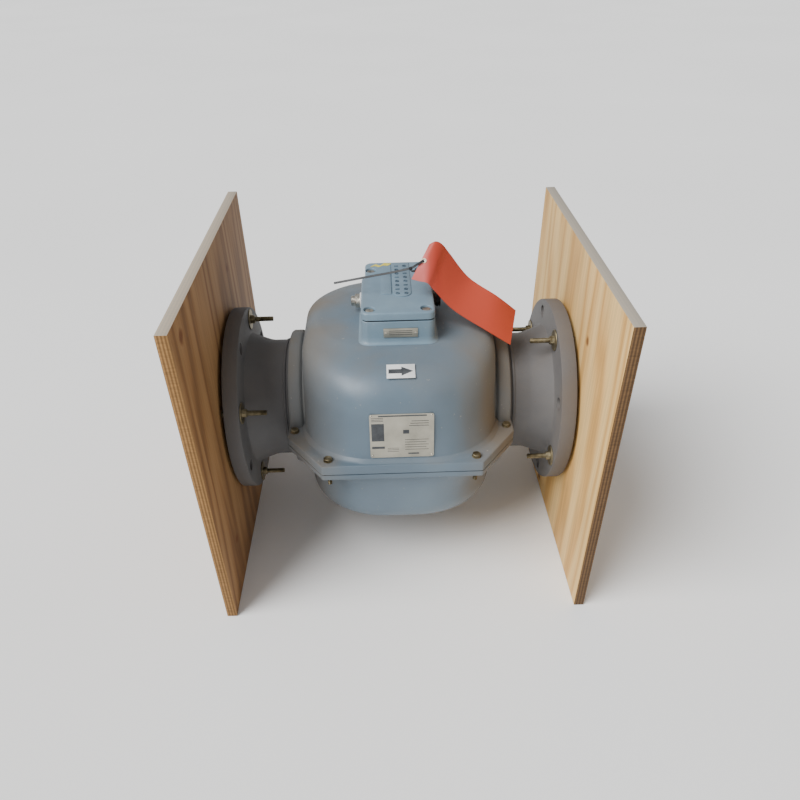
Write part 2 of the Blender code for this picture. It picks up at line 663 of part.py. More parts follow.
# The tag is folded over: a short flap with the eyelet, then the long leaf. Its two long edges:
TAG_LOW = (
    (0.024, -0.050, 0.256), (0.0375, -0.050, 0.252), (0.051, -0.050, 0.248), (0.063, -0.050, 0.234),
    (0.096, -0.060, 0.202), (0.155, -0.076, 0.168), (0.194, -0.078, 0.143),
)
TAG_HIGH = (
    (0.056, -0.008, 0.298), (0.0665, -0.008, 0.303), (0.078, -0.0065, 0.297), (0.092, -0.002, 0.278),
    (0.126, -0.005, 0.236), (0.174, -0.021, 0.208), (0.210, -0.018, 0.178),
)
TAG_THICK = 0.0006
EYELET_SHARE = 0.52
TIE_HALF_WIDTH = 0.0018
TIE_THICK = 0.0010


def eyeletPlace():
    """Centre of the eyelet on the short flap, the flap's outward normal and the way along it."""
    first = [Vector(TAG_LOW[0]).lerp(Vector(TAG_HIGH[0]), EYELET_SHARE)]
    first.append(Vector(TAG_LOW[1]).lerp(Vector(TAG_HIGH[1]), EYELET_SHARE))
    flapWay = (first[1] - first[0]).normalized()
    highs = Vector(TAG_HIGH[0]) + Vector(TAG_HIGH[1])
    across = (highs - Vector(TAG_LOW[0]) - Vector(TAG_LOW[1])).normalized()
    return first[0].lerp(first[1], 0.45), flapWay.cross(across).normalized(), flapWay, across


def makeTag():
    """The tag and its eyelet, and the cable tie that holds it to the right cable entry."""
    centre, normal, flapWay, across = eyeletPlace()
    edges = list(zip(smoothRoute(TAG_LOW, 2), smoothRoute(TAG_HIGH, 2)))
    tag = band("tag", edges, TAG_THICK, tagRed, 3)
    hole = cylinderTool("eyelet_hole", 0.0032, centre - normal * 0.004, centre + normal * 0.004, 12)
    change(tag, "DIFFERENCE", hole)
    flange = ((0.0013, 0.0027), (0.0013, 0.0044), (0.0007, 0.0044), (0.0007, 0.0029))
    spool = [(-z, r) for z, r in flange] + [(z, r) for z, r in flange[::-1]]
    turned("tag_eyelet", spool, eyeletWhite, 14, normal, centre)

    over = (flapWay * 0.75 + across * 0.65).normalized()
    hang = centre - normal * 0.010
    start = centre - over * 0.014 + normal * 0.0030
    head = start - over * 0.008 + Vector((-0.004, 0, -0.0015))
    cap = Vector((0.0730, ENTRY_Y, ENTRY_Z))
    loopR = 0.0132
    route = [
        (-0.1065, -0.030, 0.2440), (-0.0450, -0.033, 0.2555), (-0.0040, -0.036, 0.2635), head, start,
        centre - over * 0.0045 + normal * 0.0028, centre - over * 0.0012 + normal * 0.0022, centre, hang,
        (0.060, -0.008, 0.248), (0.071, 0.002, 0.218),
    ]
    turns = (0.1, 0.9, 1.57, 2.24, 3.04)
    route += [cap + Vector((0, -loopR * math.cos(a), -loopR * math.sin(a))) for a in turns]
    backUnder = (head + Vector((0.004, 0.006, -0.008)), head + Vector((0, 0, -0.0018)))
    route += [(0.071, 0.030, 0.218), (0.052, 0.010, 0.244), *backUnder]
    points = smoothRoute(route, 2)
    edges = []
    for i, point in enumerate(points):
        ahead = (points[min(i + 1, len(points) - 1)] - points[max(i - 1, 0)]).normalized()
        onCap = min(1, max(0, (0.258 - point.z) / 0.03)) if point.x > centre.x or point.y > 0 else 0
        crosswise = normal.cross(over).normalized().lerp(Vector((-1, 0, 0)), onCap)
        crosswise = (crosswise - ahead * crosswise.dot(ahead)).normalized()
        edges.append((point - crosswise * TIE_HALF_WIDTH, point + crosswise * TIE_HALF_WIDTH))
    tie = band("cable_tie", edges, TIE_THICK, tieBlack)
    lock = box("tie_head", (-0.0030, -0.0034, -0.0032), (0.0030, 0.0034, 0.0016), tieBlack)
    lock.location = head
    lock.rotation_euler = (start - head).to_track_quat("X", "Z").to_euler()
    change(tie, "UNION", lock)


def main():
    makeHousing()
    makeFlange("inlet_flange", -1)
    makeFlange("outlet_flange", 1)
    makePipe()
    makeInstruments()
    makeTerminalBox()
    makeLid()
    makeEntries()
    makePlates()
    makeCover("inlet", -1, COVER_TOP_LEFT, INLET_BOLT_TURNS)
    makeCover("outlet", 1, COVER_TOP_RIGHT, OUTLET_BOLT_TURNS)
    makeTag()


main()
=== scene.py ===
import math

import bmesh
import bpy
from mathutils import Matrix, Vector


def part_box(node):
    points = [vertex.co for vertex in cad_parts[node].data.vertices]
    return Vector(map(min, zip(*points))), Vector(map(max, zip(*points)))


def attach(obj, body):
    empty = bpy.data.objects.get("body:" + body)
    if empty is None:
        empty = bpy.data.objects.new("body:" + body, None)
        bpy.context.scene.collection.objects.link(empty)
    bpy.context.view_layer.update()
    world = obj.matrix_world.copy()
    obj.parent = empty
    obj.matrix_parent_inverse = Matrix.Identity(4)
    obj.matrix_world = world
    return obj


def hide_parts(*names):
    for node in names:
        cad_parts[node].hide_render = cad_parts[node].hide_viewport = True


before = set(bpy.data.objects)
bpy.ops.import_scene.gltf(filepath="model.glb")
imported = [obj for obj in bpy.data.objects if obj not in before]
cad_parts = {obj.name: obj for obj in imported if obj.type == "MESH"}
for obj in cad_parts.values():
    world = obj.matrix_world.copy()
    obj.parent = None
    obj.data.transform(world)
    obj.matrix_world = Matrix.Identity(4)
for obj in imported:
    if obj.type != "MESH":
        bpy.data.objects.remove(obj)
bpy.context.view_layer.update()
flangeLow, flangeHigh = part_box("inlet_flange")
axisY = (flangeLow.y + flangeHigh.y) / 2  # the pipe's centre line
axisZ = (flangeLow.z + flangeHigh.z) / 2
print("frame loaded, pipe centre", round(axisY, 4), round(axisZ, 4))


# Colours and material nodes

def linearColour(code):
    parts = [int(code[i:i + 2], 16) / 255 for i in (0, 2, 4)]
    return (*[c / 12.92 if c <= 0.04045 else ((c + 0.055) / 1.055) ** 2.4 for c in parts], 1)


def addNode(tree, kind, settings=None, links=None):
    node = tree.nodes.new("ShaderNode" + kind)
    for key, value in (settings or {}).items():
        if key == "stops":  # a colour ramp's positions and colours
            ramp = node.color_ramp
            while len(ramp.elements) < len(value):
                ramp.elements.new(0.5)
            for element, (position, colour) in zip(ramp.elements, value):
                element.position = position
                element.color = linearColour(colour)
        elif isinstance(key, int) or key in node.inputs:
            node.inputs[key].default_value = value
        else:
            setattr(node, key, value)
    for key, source in (links or {}).items():
        tree.links.new(source, node.inputs[key])
    return node


def startMaterial(name, settings):
    material = bpy.data.materials.new(name)
    material.use_nodes = True
    tree = material.node_tree
    shader = tree.nodes["Principled BSDF"]
    for key, value in settings.items():
        shader.inputs[key].default_value = value
    place = addNode(tree, "TexCoord")
    return material, tree, shader, place.outputs["Object"]


def noiseAt(tree, place, scale, detail=3.0, stretch=(1, 1, 1), distortion=0.0):
    spread = addNode(tree, "Mapping", {"Scale": stretch}, {"Vector": place})
    return addNode(
        tree, "TexNoise", {"Scale": scale, "Detail": detail, "Distortion": distortion},
        {"Vector": spread.outputs[0]},
    ).outputs["Fac"]


def castEnamel(name, look):
    # Brushed-on enamel over a sand casting: soft sheen, slow colour drift, grey-brown dust where it can
    # settle, and the same brown towards the flanks as partly dust, partly painted shadow and reflection.
    material, tree, shader, place = startMaterial(name, {"IOR": 1.5, "Specular IOR Level": look["gloss"]})
    drift = noiseAt(tree, place, look["driftScale"], 4.0)
    paint = addNode(tree, "ValToRGB", {"stops": look["paint"]}, {"Fac": drift})
    facing = addNode(tree, "NewGeometry")
    split = addNode(tree, "SeparateXYZ", {}, {0: facing.outputs["Normal"]})
    lying = addNode(tree, "MapRange", {"From Min": 0.1, "From Max": 1.0}, {"Value": split.outputs["Z"]})
    settled = noiseAt(tree, place, 7.0, 6.0, distortion=0.6)
    patches = addNode(tree, "MapRange", {"From Min": 0.38, "From Max": 0.68}, {"Value": settled})
    onTop = addNode(tree, "Math", {"operation": "MULTIPLY"}, {0: lying.outputs[0], 1: patches.outputs[0]})
    smear = noiseAt(tree, place, 2.6, 3.0, distortion=1.2)
    smears = addNode(
        tree, "MapRange", {"From Min": 0.5, "From Max": 0.75, "To Max": look["smear"]}, {"Value": smear},
    )
    # Brown towards the flanks, stronger away from the middle in X: partly dust, partly painted shadow and
    # reflection.
    across = addNode(tree, "SeparateXYZ", {}, {0: place})
    outward = addNode(tree, "Math", {"operation": "ABSOLUTE"}, {0: across.outputs["X"]})
    flank = addNode(
        tree, "MapRange",
        {"From Min": look["flankFrom"], "From Max": look["flankTo"], "To Max": look["flank"]},
        {"Value": outward.outputs[0]},
    )
    streaks = addNode(tree, "MapRange", {"From Min": 0.25, "From Max": 0.6, "To Min": 0.45}, {"Value": smear})
    flankDustAndShade = addNode(tree, "Math", {"operation": "MULTIPLY"}, {0: flank.outputs[0], 1: streaks.outputs[0]})
    lower = addNode(tree, "Math", {"operation": "ADD"}, {0: smears.outputs[0], 1: flankDustAndShade.outputs[0]})
    amount = addNode(
        tree, "Math", {"operation": "MULTIPLY_ADD", 1: look["dust"], "use_clamp": True},
        {0: onTop.outputs[0], 2: lower.outputs[0]},
    )
    dustAndShadeMixed = addNode(
        tree, "MixRGB", {"Color2": linearColour(look["dustAndShadeColour"])},
        {"Fac": amount.outputs[0], "Color1": paint.outputs["Color"]},
    )
    speck = noiseAt(tree, place, 190.0, 2.0)
    chips = addNode(tree, "MapRange", {"From Min": 0.735, "From Max": 0.76, "To Max": 0.55}, {"Value": speck})
    final = addNode(
        tree, "MixRGB", {"Color2": linearColour(look["chipColour"])},
        {"Fac": chips.outputs[0], "Color1": dustAndShadeMixed.outputs["Color"]},
    )
    tree.links.new(final.outputs["Color"], shader.inputs["Base Color"])
    rough = addNode(
        tree, "MapRange", {"To Min": look["roughness"], "To Max": 0.85}, {"Value": amount.outputs[0]},
    )
    tree.links.new(rough.outputs[0], shader.inputs["Roughness"])
    sand = noiseAt(tree, place, 420.0, 3.0)  # 2.4 mm, a little coarser than moulding sand so that it shows
    waves = noiseAt(tree, place, 28.0, 2.0)
    low = addNode(tree, "Bump", {"Strength": 0.10, "Distance": 0.004}, {"Height": waves})
    high = addNode(
        tree,
        "Bump",
        {"Strength": look["grain"], "Distance": 0.0006},
        {"Height": sand, "Normal": low.outputs[0]},
    )
    tree.links.new(high.outputs[0], shader.inputs["Normal"])
    return material


def plywoodFace(name, look):
    # Rotary-cut pine veneer: broad wavy cathedral bands running up the sheet, fine pores, a few brown knots.
    material, tree, shader, place = startMaterial(name, {"IOR": 1.45, "Roughness": 0.72})
    turn = addNode(
        tree, "Mapping", {"Location": look["shift"], "Scale": (1, 1, look["squeeze"])}, {"Vector": place},
    )
    warp = addNode(tree, "TexNoise", {"Scale": 3.2, "Detail": 3.0}, {"Vector": turn.outputs[0]})
    bent = addNode(
        tree, "MixRGB", {"blend_type": "LINEAR_LIGHT", "Fac": 0.30},
        {"Color1": turn.outputs[0], "Color2": warp.outputs["Color"]},
    )
    rings = addNode(
        tree, "TexWave",
        {
            "bands_direction": "Y",
            "Scale": look["bandScale"],
            "Distortion": 7.0,
            "Detail": 3.0,
            "Detail Scale": 1.2,
        },
        {"Vector": bent.outputs["Color"]},
    )
    veneer = addNode(tree, "ValToRGB", {"stops": look["veneer"]}, {"Fac": rings.outputs["Fac"]})
    fibre = noiseAt(tree, place, 260.0, 3.0, (1, 1, 0.03))  # pores 4 mm apart across, long up the sheet
    pores = addNode(
        tree,
        "MapRange",
        {"From Min": 0.35, "From Max": 0.65, "To Min": 0.86, "To Max": 1.05},
        {"Value": fibre},
    )
    grained = addNode(
        tree, "MixRGB", {"blend_type": "MULTIPLY", "Fac": 1.0},
        {"Color1": veneer.outputs["Color"], "Color2": pores.outputs[0]},
    )
    blotch = noiseAt(tree, place, 5.0, 5.0, (1, 1, 0.6))
    tones = addNode(
        tree,
        "MapRange",
        {"From Min": 0.3, "From Max": 0.7, "To Min": 0.88, "To Max": 1.08},
        {"Value": blotch},
    )
    toned = addNode(
        tree, "MixRGB", {"blend_type": "MULTIPLY", "Fac": 1.0},
        {"Color1": grained.outputs["Color"], "Color2": tones.outputs[0]},
    )
    colour = toned.outputs["Color"]
    for spot, size in look["knots"]:
        away = addNode(tree, "VectorMath", {"operation": "DISTANCE", 1: spot}, {0: place})
        wobble = noiseAt(tree, place, 60.0, 2.0)
        uneven = addNode(
            tree, "Math", {"operation": "MULTIPLY_ADD", 1: 0.012}, {0: wobble, 2: away.outputs["Value"]},
        )
        knot = addNode(
            tree, "MapRange",
            {"From Min": size + 0.006, "From Max": size + 0.014, "To Min": 0.85, "To Max": 0.0},
            {"Value": uneven.outputs[0]},
        )
        mixed = addNode(
            tree, "MixRGB", {"Color2": linearColour(look["knotColour"])},
            {"Fac": knot.outputs[0], "Color1": colour},
        )
        colour = mixed.outputs["Color"]
    tree.links.new(colour, shader.inputs["Base Color"])
    relief = addNode(tree, "Bump", {"Strength": 0.35, "Distance": 0.0008}, {"Height": fibre})
    tree.links.new(relief.outputs[0], shader.inputs["Normal"])
    return material


def plywoodEdge(name, look):
    # Seven plies seen on the cut edge: pale long-grain plies between darker end-grain ones, greyed by
    # weather.
    material, tree, shader, place = startMaterial(name, {"IOR": 1.45, "Roughness": 0.85})
    split = addNode(tree, "SeparateXYZ", {}, {0: place})
    across = addNode(
        tree, "MapRange", {"From Min": look["inner"], "From Max": look["outer"], "To Max": 3.5},
        {"Value": split.outputs["X"]},
    )
    ripple = noiseAt(tree, place, 14.0, 3.0)
    shifted = addNode(tree, "Math", {"operation": "MULTIPLY_ADD", 1: 0.22}, {0: ripple, 2: across.outputs[0]})
    ply = addNode(tree, "Math", {"operation": "PINGPONG", 1: 0.5}, {0: shifted.outputs[0]})
    plies = addNode(tree, "ValToRGB", {"stops": look["plies"]}, {"Fac": ply.outputs[0]})
    ends = noiseAt(tree, place, 320.0, 2.0, (0.2, 1, 1))
    stipple = addNode(
        tree, "MapRange", {"From Min": 0.3, "From Max": 0.7, "To Min": 0.75, "To Max": 1.1}, {"Value": ends},
    )
    cut = addNode(
        tree, "MixRGB", {"blend_type": "MULTIPLY", "Fac": 1.0},
        {"Color1": plies.outputs["Color"], "Color2": stipple.outputs[0]},
    )
    facing = addNode(tree, "NewGeometry")
    up = addNode(tree, "SeparateXYZ", {}, {0: facing.outputs["Normal"]})
    weather = addNode(
        tree, "MapRange", {"From Min": 0.5, "From Max": 0.9, "To Max": 0.7}, {"Value": up.outputs["Z"]},
    )
    grey = addNode(
        tree, "MixRGB", {"Color2": linearColour(look["shadeAndWeather"])},
        {"Fac": weather.outputs[0], "Color1": cut.outputs["Color"]},
    )
    tree.links.new(grey.outputs["Color"], shader.inputs["Base Color"])
    relief = addNode(tree, "Bump", {"Strength": 0.5, "Distance": 0.001}, {"Height": ends})
    tree.links.new(relief.outputs[0], shader.inputs["Normal"])
    return material


def platedSteel(name, look):
    # Zinc plate or bare machined steel: metallic, with cloudy tarnish and fine turning marks.
    material, tree, shader, place = startMaterial(name, {"Metallic": 1.0, "IOR": 1.5})
    cloud = noiseAt(tree, place, look["cloudScale"], 4.0)
    tint = addNode(tree, "ValToRGB", {"stops": look["tints"]}, {"Fac": cloud})
    tree.links.new(tint.outputs["Color"], shader.inputs["Base Color"])
    rough = addNode(
        tree, "MapRange",
        {"From Min": 0.3, "From Max": 0.7, "To Min": look["rough"][0], "To Max": look["rough"][1]},
        {"Value": cloud},
    )
    tree.links.new(rough.outputs[0], shader.inputs["Roughness"])
    marks = noiseAt(tree, place, 500.0, 2.0, look["marks"])
    relief = addNode(tree, "Bump", {"Strength": 0.25, "Distance": 0.0003}, {"Height": marks})
    tree.links.new(relief.outputs[0], shader.inputs["Normal"])
    return material


def mouldedPlastic(name, look):
    # Moulded plastic, rubber or printed film: even colour with a little scuffing and a fine pebble.
    material, tree, shader, place = startMaterial(name, {"IOR": 1.46})
    scuff = noiseAt(tree, place, look["scuffScale"], 5.0)
    tint = addNode(tree, "ValToRGB", {"stops": look["tints"]}, {"Fac": scuff})
    tree.links.new(tint.outputs["Color"], shader.inputs["Base Color"])
    rough = addNode(
        tree, "MapRange",
        {"From Min": 0.3, "From Max": 0.7, "To Min": look["rough"][0], "To Max": look["rough"][1]},
        {"Value": scuff},
    )
    tree.links.new(rough.outputs[0], shader.inputs["Roughness"])
    pebble = noiseAt(tree, place, look["pebble"], 2.0)
    relief = addNode(tree, "Bump", {"Strength": 0.2, "Distance": 0.0004}, {"Height": pebble})
    tree.links.new(relief.outputs[0], shader.inputs["Normal"])
    return material


def tagVinyl(name, look):
    # Thin red laminated sheet: sun-faded pink on the short flap, deeper red on the leaf, faint creases.
    material, tree, shader, place = startMaterial(name, {"IOR": 1.5, "Roughness": 0.5})
    split = addNode(tree, "SeparateXYZ", {}, {0: place})
    leaf = addNode(
        tree, "MapRange", {"From Min": look["fadeFrom"], "From Max": look["fadeTo"]},
        {"Value": split.outputs["X"]},
    )
    cloud = noiseAt(tree, place, 22.0, 4.0)
    uneven = addNode(tree, "Math", {"operation": "MULTIPLY_ADD", 1: 0.25}, {0: cloud, 2: leaf.outputs[0]})
    tint = addNode(tree, "ValToRGB", {"stops": look["tints"]}, {"Fac": uneven.outputs[0]})
    tree.links.new(tint.outputs["Color"], shader.inputs["Base Color"])
    crease = noiseAt(tree, place, 45.0, 3.0, (0.5, 1, 1))
    relief = addNode(tree, "Bump", {"Strength": 0.25, "Distance": 0.0015}, {"Height": crease})
    tree.links.new(relief.outputs[0], shader.inputs["Normal"])
    return material


enamel = castEnamel("Sand-cast enamel, blue grey", {
    "paint": ((0.30, "536471"), (0.5, "61727f"), (0.72, "6f808c")), "driftScale": 4.0, "gloss": 0.5,
    "dust": 0.50, "smear": 0.40, "dustAndShadeColour": "716a60", "chipColour": "a39e94", "roughness": 0.40,
    "grain": 0.35,
    # Flank brown on the dome's sides: partly dust, partly painted shadow and reflection.
    "flankFrom": 0.085, "flankTo": 0.165, "flank": 0.85,
})
# Lighter, bluer copy of the housing enamel for the box and lid: painted light, the up-facing lid's brightness
# laid on as colour; less dust.
litBoxEnamel = castEnamel("Lighter enamel with painted light, blue grey", {
    "paint": ((0.30, "627a8b"), (0.5, "70899a"), (0.72, "7e96a6")), "driftScale": 9.0, "gloss": 0.5,
    "dust": 0.15, "smear": 0.15, "dustAndShadeColour": "7c766d", "chipColour": "b5b4ad", "roughness": 0.38,
    "grain": 0.2,
    "flankFrom": 0.045, "flankTo": 0.065, "flank": 0.35,
})
# Dark enamel for the lid's cast marks and the line beside the strip: painted shade standing in for their dark
# outlines.
markShadeEnamel = castEnamel("Cast marks darkened as painted shade", {
    "paint": ((0.30, "3c4c59"), (0.5, "485a68"), (0.72, "5b7080")), "driftScale": 60.0, "gloss": 0.4,
    "dust": 0.2, "smear": 0.3, "dustAndShadeColour": "3f4347", "chipColour": "8d9aa3", "roughness": 0.5, "grain": 0.2,
    "flankFrom": 0.3, "flankTo": 0.4, "flank": 0.0,
})
primer = castEnamel("Dusty grey primer on forged steel", {
    "paint": ((0.30, "505153"), (0.5, "5d5d5e"), (0.72, "6a6866")), "driftScale": 6.0, "gloss": 0.35,
    "dust": 0.45, "smear": 0.6, "dustAndShadeColour": "62584f", "chipColour": "5d4030", "roughness": 0.6,
    "grain": 0.3,
    "flankFrom": 0.20, "flankTo": 0.30, "flank": 0.35,
})
pineFace = {
    "shift": (0.0, 0.31, 0.1), "squeeze": 0.13, "bandScale": 5.0, "knotColour": "6a3d1c",
    "veneer": ((0.0, "c89a58"), (0.2, "d5a967"), (0.55, "ddb573"), (1.0, "e2bc7c")),
}
knotsRight = (((0.310, 0.16, 0.33), 0.004), ((0.310, -0.12, 0.45), 0.003), ((0.310, 0.05, 0.02), 0.004))
knotsLeft = (((-0.310, -0.245, 0.545), 0.006), ((-0.310, 0.10, 0.50), 0.003), ((-0.310, -0.20, 0.10), 0.003))
pineRight = plywoodFace("Pine plywood face, outlet", {**pineFace, "knots": knotsRight})
shadeAndWeather = ((0.0, "7d5834"), (0.2, "8b643c"), (0.55, "976f45"), (1.0, "9e774c"))  # darker veneer for the inlet face: painted shade
pineLeft = plywoodFace(
    "Shade-darkened pine plywood face, inlet",
    {**pineFace, "shift": (0, 0.9, 0.4), "knots": knotsLeft, "veneer": shadeAndWeather},
)
pliesLook = {
    "plies": ((0.0, "70502c"), (0.2, "866238"), (0.34, "9a7344"), (0.5, "a67e4c")), "shadeAndWeather": "b3ada0",
}
darkPlies = ((0.0, "4c3722"), (0.2, "5c4329"), (0.34, "6b4f31"), (0.5, "785a39"))
edgeRight = plywoodEdge(
    "Stained plywood cut edge, outlet", {**pliesLook, "plies": darkPlies, "inner": 0.310, "outer": 0.328},
)
edgeLeft = plywoodEdge("Plywood cut edge, inlet", {**pliesLook, "inner": -0.328, "outer": -0.310})
zincPlate = platedSteel("Tarnished zinc plate", {
    "tints": ((0.3, "5f5642"), (0.5, "857a60"), (0.7, "a2987f")), "cloudScale": 90.0, "rough": (0.4, 0.65),
    "marks": (3, 0.3, 0.3),
})
bareSteel = platedSteel("Turned bare steel", {
    "tints": ((0.3, "9a958b"), (0.6, "cfcabd"), (0.8, "dedad0")), "cloudScale": 90.0, "rough": (0.25, 0.45),
    "marks": (1, 1, 1),
})
plateMetal = platedSteel("Etched aluminium plate", {
    "tints": ((0.3, "a39f92"), (0.5, "b7b3a5"), (0.7, "c4c0b3")), "cloudScale": 30.0, "rough": (0.45, 0.6),
    "marks": (0.1, 1, 1),
})
rubber = mouldedPlastic("Black gasket rubber", {
    "tints": ((0.3, "161616"), (0.7, "242322")), "scuffScale": 30.0, "rough": (0.7, 0.9), "pebble": 300.0,
})
# Dark brown for the cable entry cap: painted shadow and reflection of the tag on that spot.
capShadeBrown = mouldedPlastic("Dark brown cap as painted shadow", {
    "tints": ((0.3, "2a1d15"), (0.7, "3f2d21")), "scuffScale": 50.0, "rough": (0.4, 0.6), "pebble": 400.0,
})
blackNylon = mouldedPlastic("Black nylon strap", {
    "tints": ((0.3, "121316"), (0.7, "26282c")), "scuffScale": 60.0, "rough": (0.35, 0.55), "pebble": 500.0,
})
whiteFilm = mouldedPlastic("White printed film", {
    "tints": ((0.25, "d2d4d3"), (0.6, "e6e8e8"), (0.8, "f0f1f1")), "scuffScale": 40.0, "rough": (0.35, 0.5),
    "pebble": 200.0,
})
printInk = mouldedPlastic("Dark grey print", {
    "tints": ((0.3, "33363a"), (0.7, "4a4d50")), "scuffScale": 90.0, "rough": (0.5, 0.7), "pebble": 400.0,
})
ivoryPlastic = mouldedPlastic("Ivory moulded eyelet", {
    "tints": ((0.3, "d8cdb0"), (0.7, "ece4cc")), "scuffScale": 90.0, "rough": (0.4, 0.5), "pebble": 300.0,
})
greenBoard = mouldedPlastic("Green solder resist", {
    "tints": ((0.3, "12502a"), (0.7, "1c6a3a")), "scuffScale": 40.0, "rough": (0.3, 0.4), "pebble": 600.0,
})
greyPlastic = mouldedPlastic("Grey polyamide", {
    "tints": ((0.3, "8c8f8c"), (0.7, "a6a8a4")), "scuffScale": 40.0, "rough": (0.45, 0.6), "pebble": 400.0,
})
cableJacket = mouldedPlastic("Dark grey cable jacket", {
    "tints": ((0.3, "3a3a3c"), (0.7, "4e4e50")), "scuffScale": 40.0, "rough": (0.5, 0.7), "pebble": 500.0,
})
yellowPaint = mouldedPlastic("Yellow paint marker", {
    "tints": ((0.3, "c9b93c"), (0.7, "ddd066")), "scuffScale": 120.0, "rough": (0.4, 0.6), "pebble": 500.0,
})
redVinyl = tagVinyl("Red laminated tag", {
    "fadeFrom": 0.045, "fadeTo": 0.085,
    "tints": ((0.10, "d9716c"), (0.40, "bf4a3c"), (0.75, "b5402c"), (1.0, "ba452f")),
})
print("materials made")


# Small modelling helpers, all working on the active piece in edit mode

def clearSelection():
    if bpy.context.object and bpy.context.object.mode != "OBJECT":
        bpy.ops.object.mode_set(mode="OBJECT")
    bpy.ops.object.select_all(action="DESELECT")


def byAngle(points):
    return sorted(points, key=lambda p: math.atan2(p[1], p[0]) % (2 * math.pi))


def grow(name, levels, closed=True):
    return growInOrder(name, [(byAngle(plan), height) for plan, height in levels], closed)


def growInOrder(name, levels, closed=True):
    # A primitive circle is extruded level by level; each level gives the plan points of its loop and its
    # height.
    count = len(levels[0][0])
    clearSelection()
    bpy.ops.mesh.primitive_circle_add(vertices=count, radius=1, fill_type="NOTHING", location=(0, 0, 0))
    piece = bpy.context.object
    piece.name = name
    for vertex, (x, y) in zip(piece.data.vertices, levels[0][0]):
        vertex.co = (x, y, levels[0][1])
    bpy.ops.object.mode_set(mode="EDIT")
    bpy.ops.mesh.select_all(action="SELECT")
    for plan, height in levels[1:]:
        bpy.ops.mesh.extrude_region_move()
        mesh = bmesh.from_edit_mesh(piece.data)
        chosen = [v for v in mesh.verts if v.select]
        for vertex, (x, y) in zip(chosen, plan):
            vertex.co = (x, y, height)
        bmesh.update_edit_mesh(piece.data)
    if closed:
        bpy.ops.mesh.edge_face_add()
        mesh = bmesh.from_edit_mesh(piece.data)
        mesh.verts.ensure_lookup_table()
        for vertex in mesh.verts:
            vertex.select = vertex.index < count
        mesh.select_flush(True)
        bpy.ops.mesh.edge_face_add()
    else:
        bpy.ops.mesh.select_all(action="DESELECT")
        bpy.ops.mesh.select_non_manifold(
            extend=False, use_wire=False, use_multi_face=False, use_non_contiguous=False, use_verts=False,
        )
        bpy.ops.mesh.bridge_edge_loops()
    bpy.ops.mesh.select_all(action="SELECT")
    bpy.ops.mesh.normals_make_consistent(inside=False)
    bpy.ops.object.mode_set(mode="OBJECT")
    return piece


def ringPlan(radius, count):
    return [
        (
            radius * math.cos(2 * math.pi * (i + 0.5) / count),
            radius * math.sin(2 * math.pi * (i + 0.5) / count),
        )
        for i in range(count)
    ]


def hexPlan(flats, count):
    # Points spread evenly by angle along a hexagon of that width across flats.
    points = []
    for i in range(count):
        angle = 2 * math.pi * (i + 0.5) / count
        fromFlat = (angle + math.pi / 6) % (math.pi / 3) - math.pi / 6
        radius = flats / 2 / math.cos(fromFlat)
        points.append((radius * math.cos(angle), radius * math.sin(angle)))
    return points


def roundedPlan(halfX, halfY, radius, segments):
    points = []
    for quarter, (sx, sy) in enumerate(((1, 1), (-1, 1), (-1, -1), (1, -1))):
        for i in range(segments + 1):
            angle = math.pi / 2 * (quarter + i / segments)
            points.append((
                sx * (halfX - radius) + radius * math.cos(angle),
                sy * (halfY - radius) + radius * math.sin(angle),
            ))
    return points


def turnedPiece(name, outline, count=96, closed=True):
    return grow(name, [(ringPlan(r, count), z) for z, r in outline], closed)


def settle(piece, at=(0, 0, 0), turn=(0, 0, 0)):
    # Turns a piece made about the origin, moves it to its place and writes that into its mesh.
    clearSelection()
    piece.rotation_euler = turn
    piece.location = at
    piece.select_set(True)
    bpy.context.view_layer.objects.active = piece
    bpy.ops.object.transform_apply(location=True, rotation=True, scale=True)
    return piece


def cut(piece, tool, operation="DIFFERENCE", solver="EXACT"):
    clearSelection()
    step = piece.modifiers.new("cut", "BOOLEAN")
    step.operation = operation
    step.solver = solver
    step.object = tool
    piece.select_set(True)
    bpy.context.view_layer.objects.active = piece
    bpy.ops.object.modifier_apply(modifier=step.name)
    bpy.data.objects.remove(tool)
    return piece


def bevelEdges(piece, width, segments=3, angle=35, clamp=True):
    clearSelection()
    step = piece.modifiers.new("bevel", "BEVEL")
    step.width = width
    step.segments = segments
    step.limit_method = "ANGLE"
    step.angle_limit = math.radians(angle)
    step.use_clamp_overlap = clamp
    step.harden_normals = False
    piece.select_set(True)
    bpy.context.view_layer.objects.active = piece
    bpy.ops.object.modifier_apply(modifier=step.name)
    return piece


def block(name, low, high, bevel=0.0, segments=2):
    clearSelection()
    middle = [(a + b) / 2 for a, b in zip(low, high)]
    bpy.ops.mesh.primitive_cube_add(size=1, location=middle)
    piece = bpy.context.object
    piece.name = name
    piece.scale = [b - a for a, b in zip(low, high)]
    bpy.ops.object.transform_apply(location=True, rotation=True, scale=True)
    if bevel:
        bevelEdges(piece, bevel, segments)
    return piece


def joinPieces(name, parts):
    clearSelection()
    for part in parts:
        part.select_set(True)
    bpy.context.view_layer.objects.active = parts[0]
    bpy.ops.object.join()
    parts[0].name = name
    return parts[0]


def copyOf(piece, name):
    made = piece.copy()
    made.data = piece.data.copy()
    made.name = name
    bpy.context.scene.collection.objects.link(made)
    return made


def finishPiece(piece, material, body, nodes=(), angle=38):
    clearSelection()
    piece.data.materials.clear()
    piece.data.materials.append(material)
    piece.select_set(True)
    bpy.context.view_layer.objects.active = piece
    bpy.ops.object.shade_smooth_by_angle(angle=math.radians(angle))
    if nodes:
        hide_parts(*nodes)
    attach(piece, body)
    return piece


# Housing: two cast shells with a bolted eight-cornered rim and a collar round each pipe end

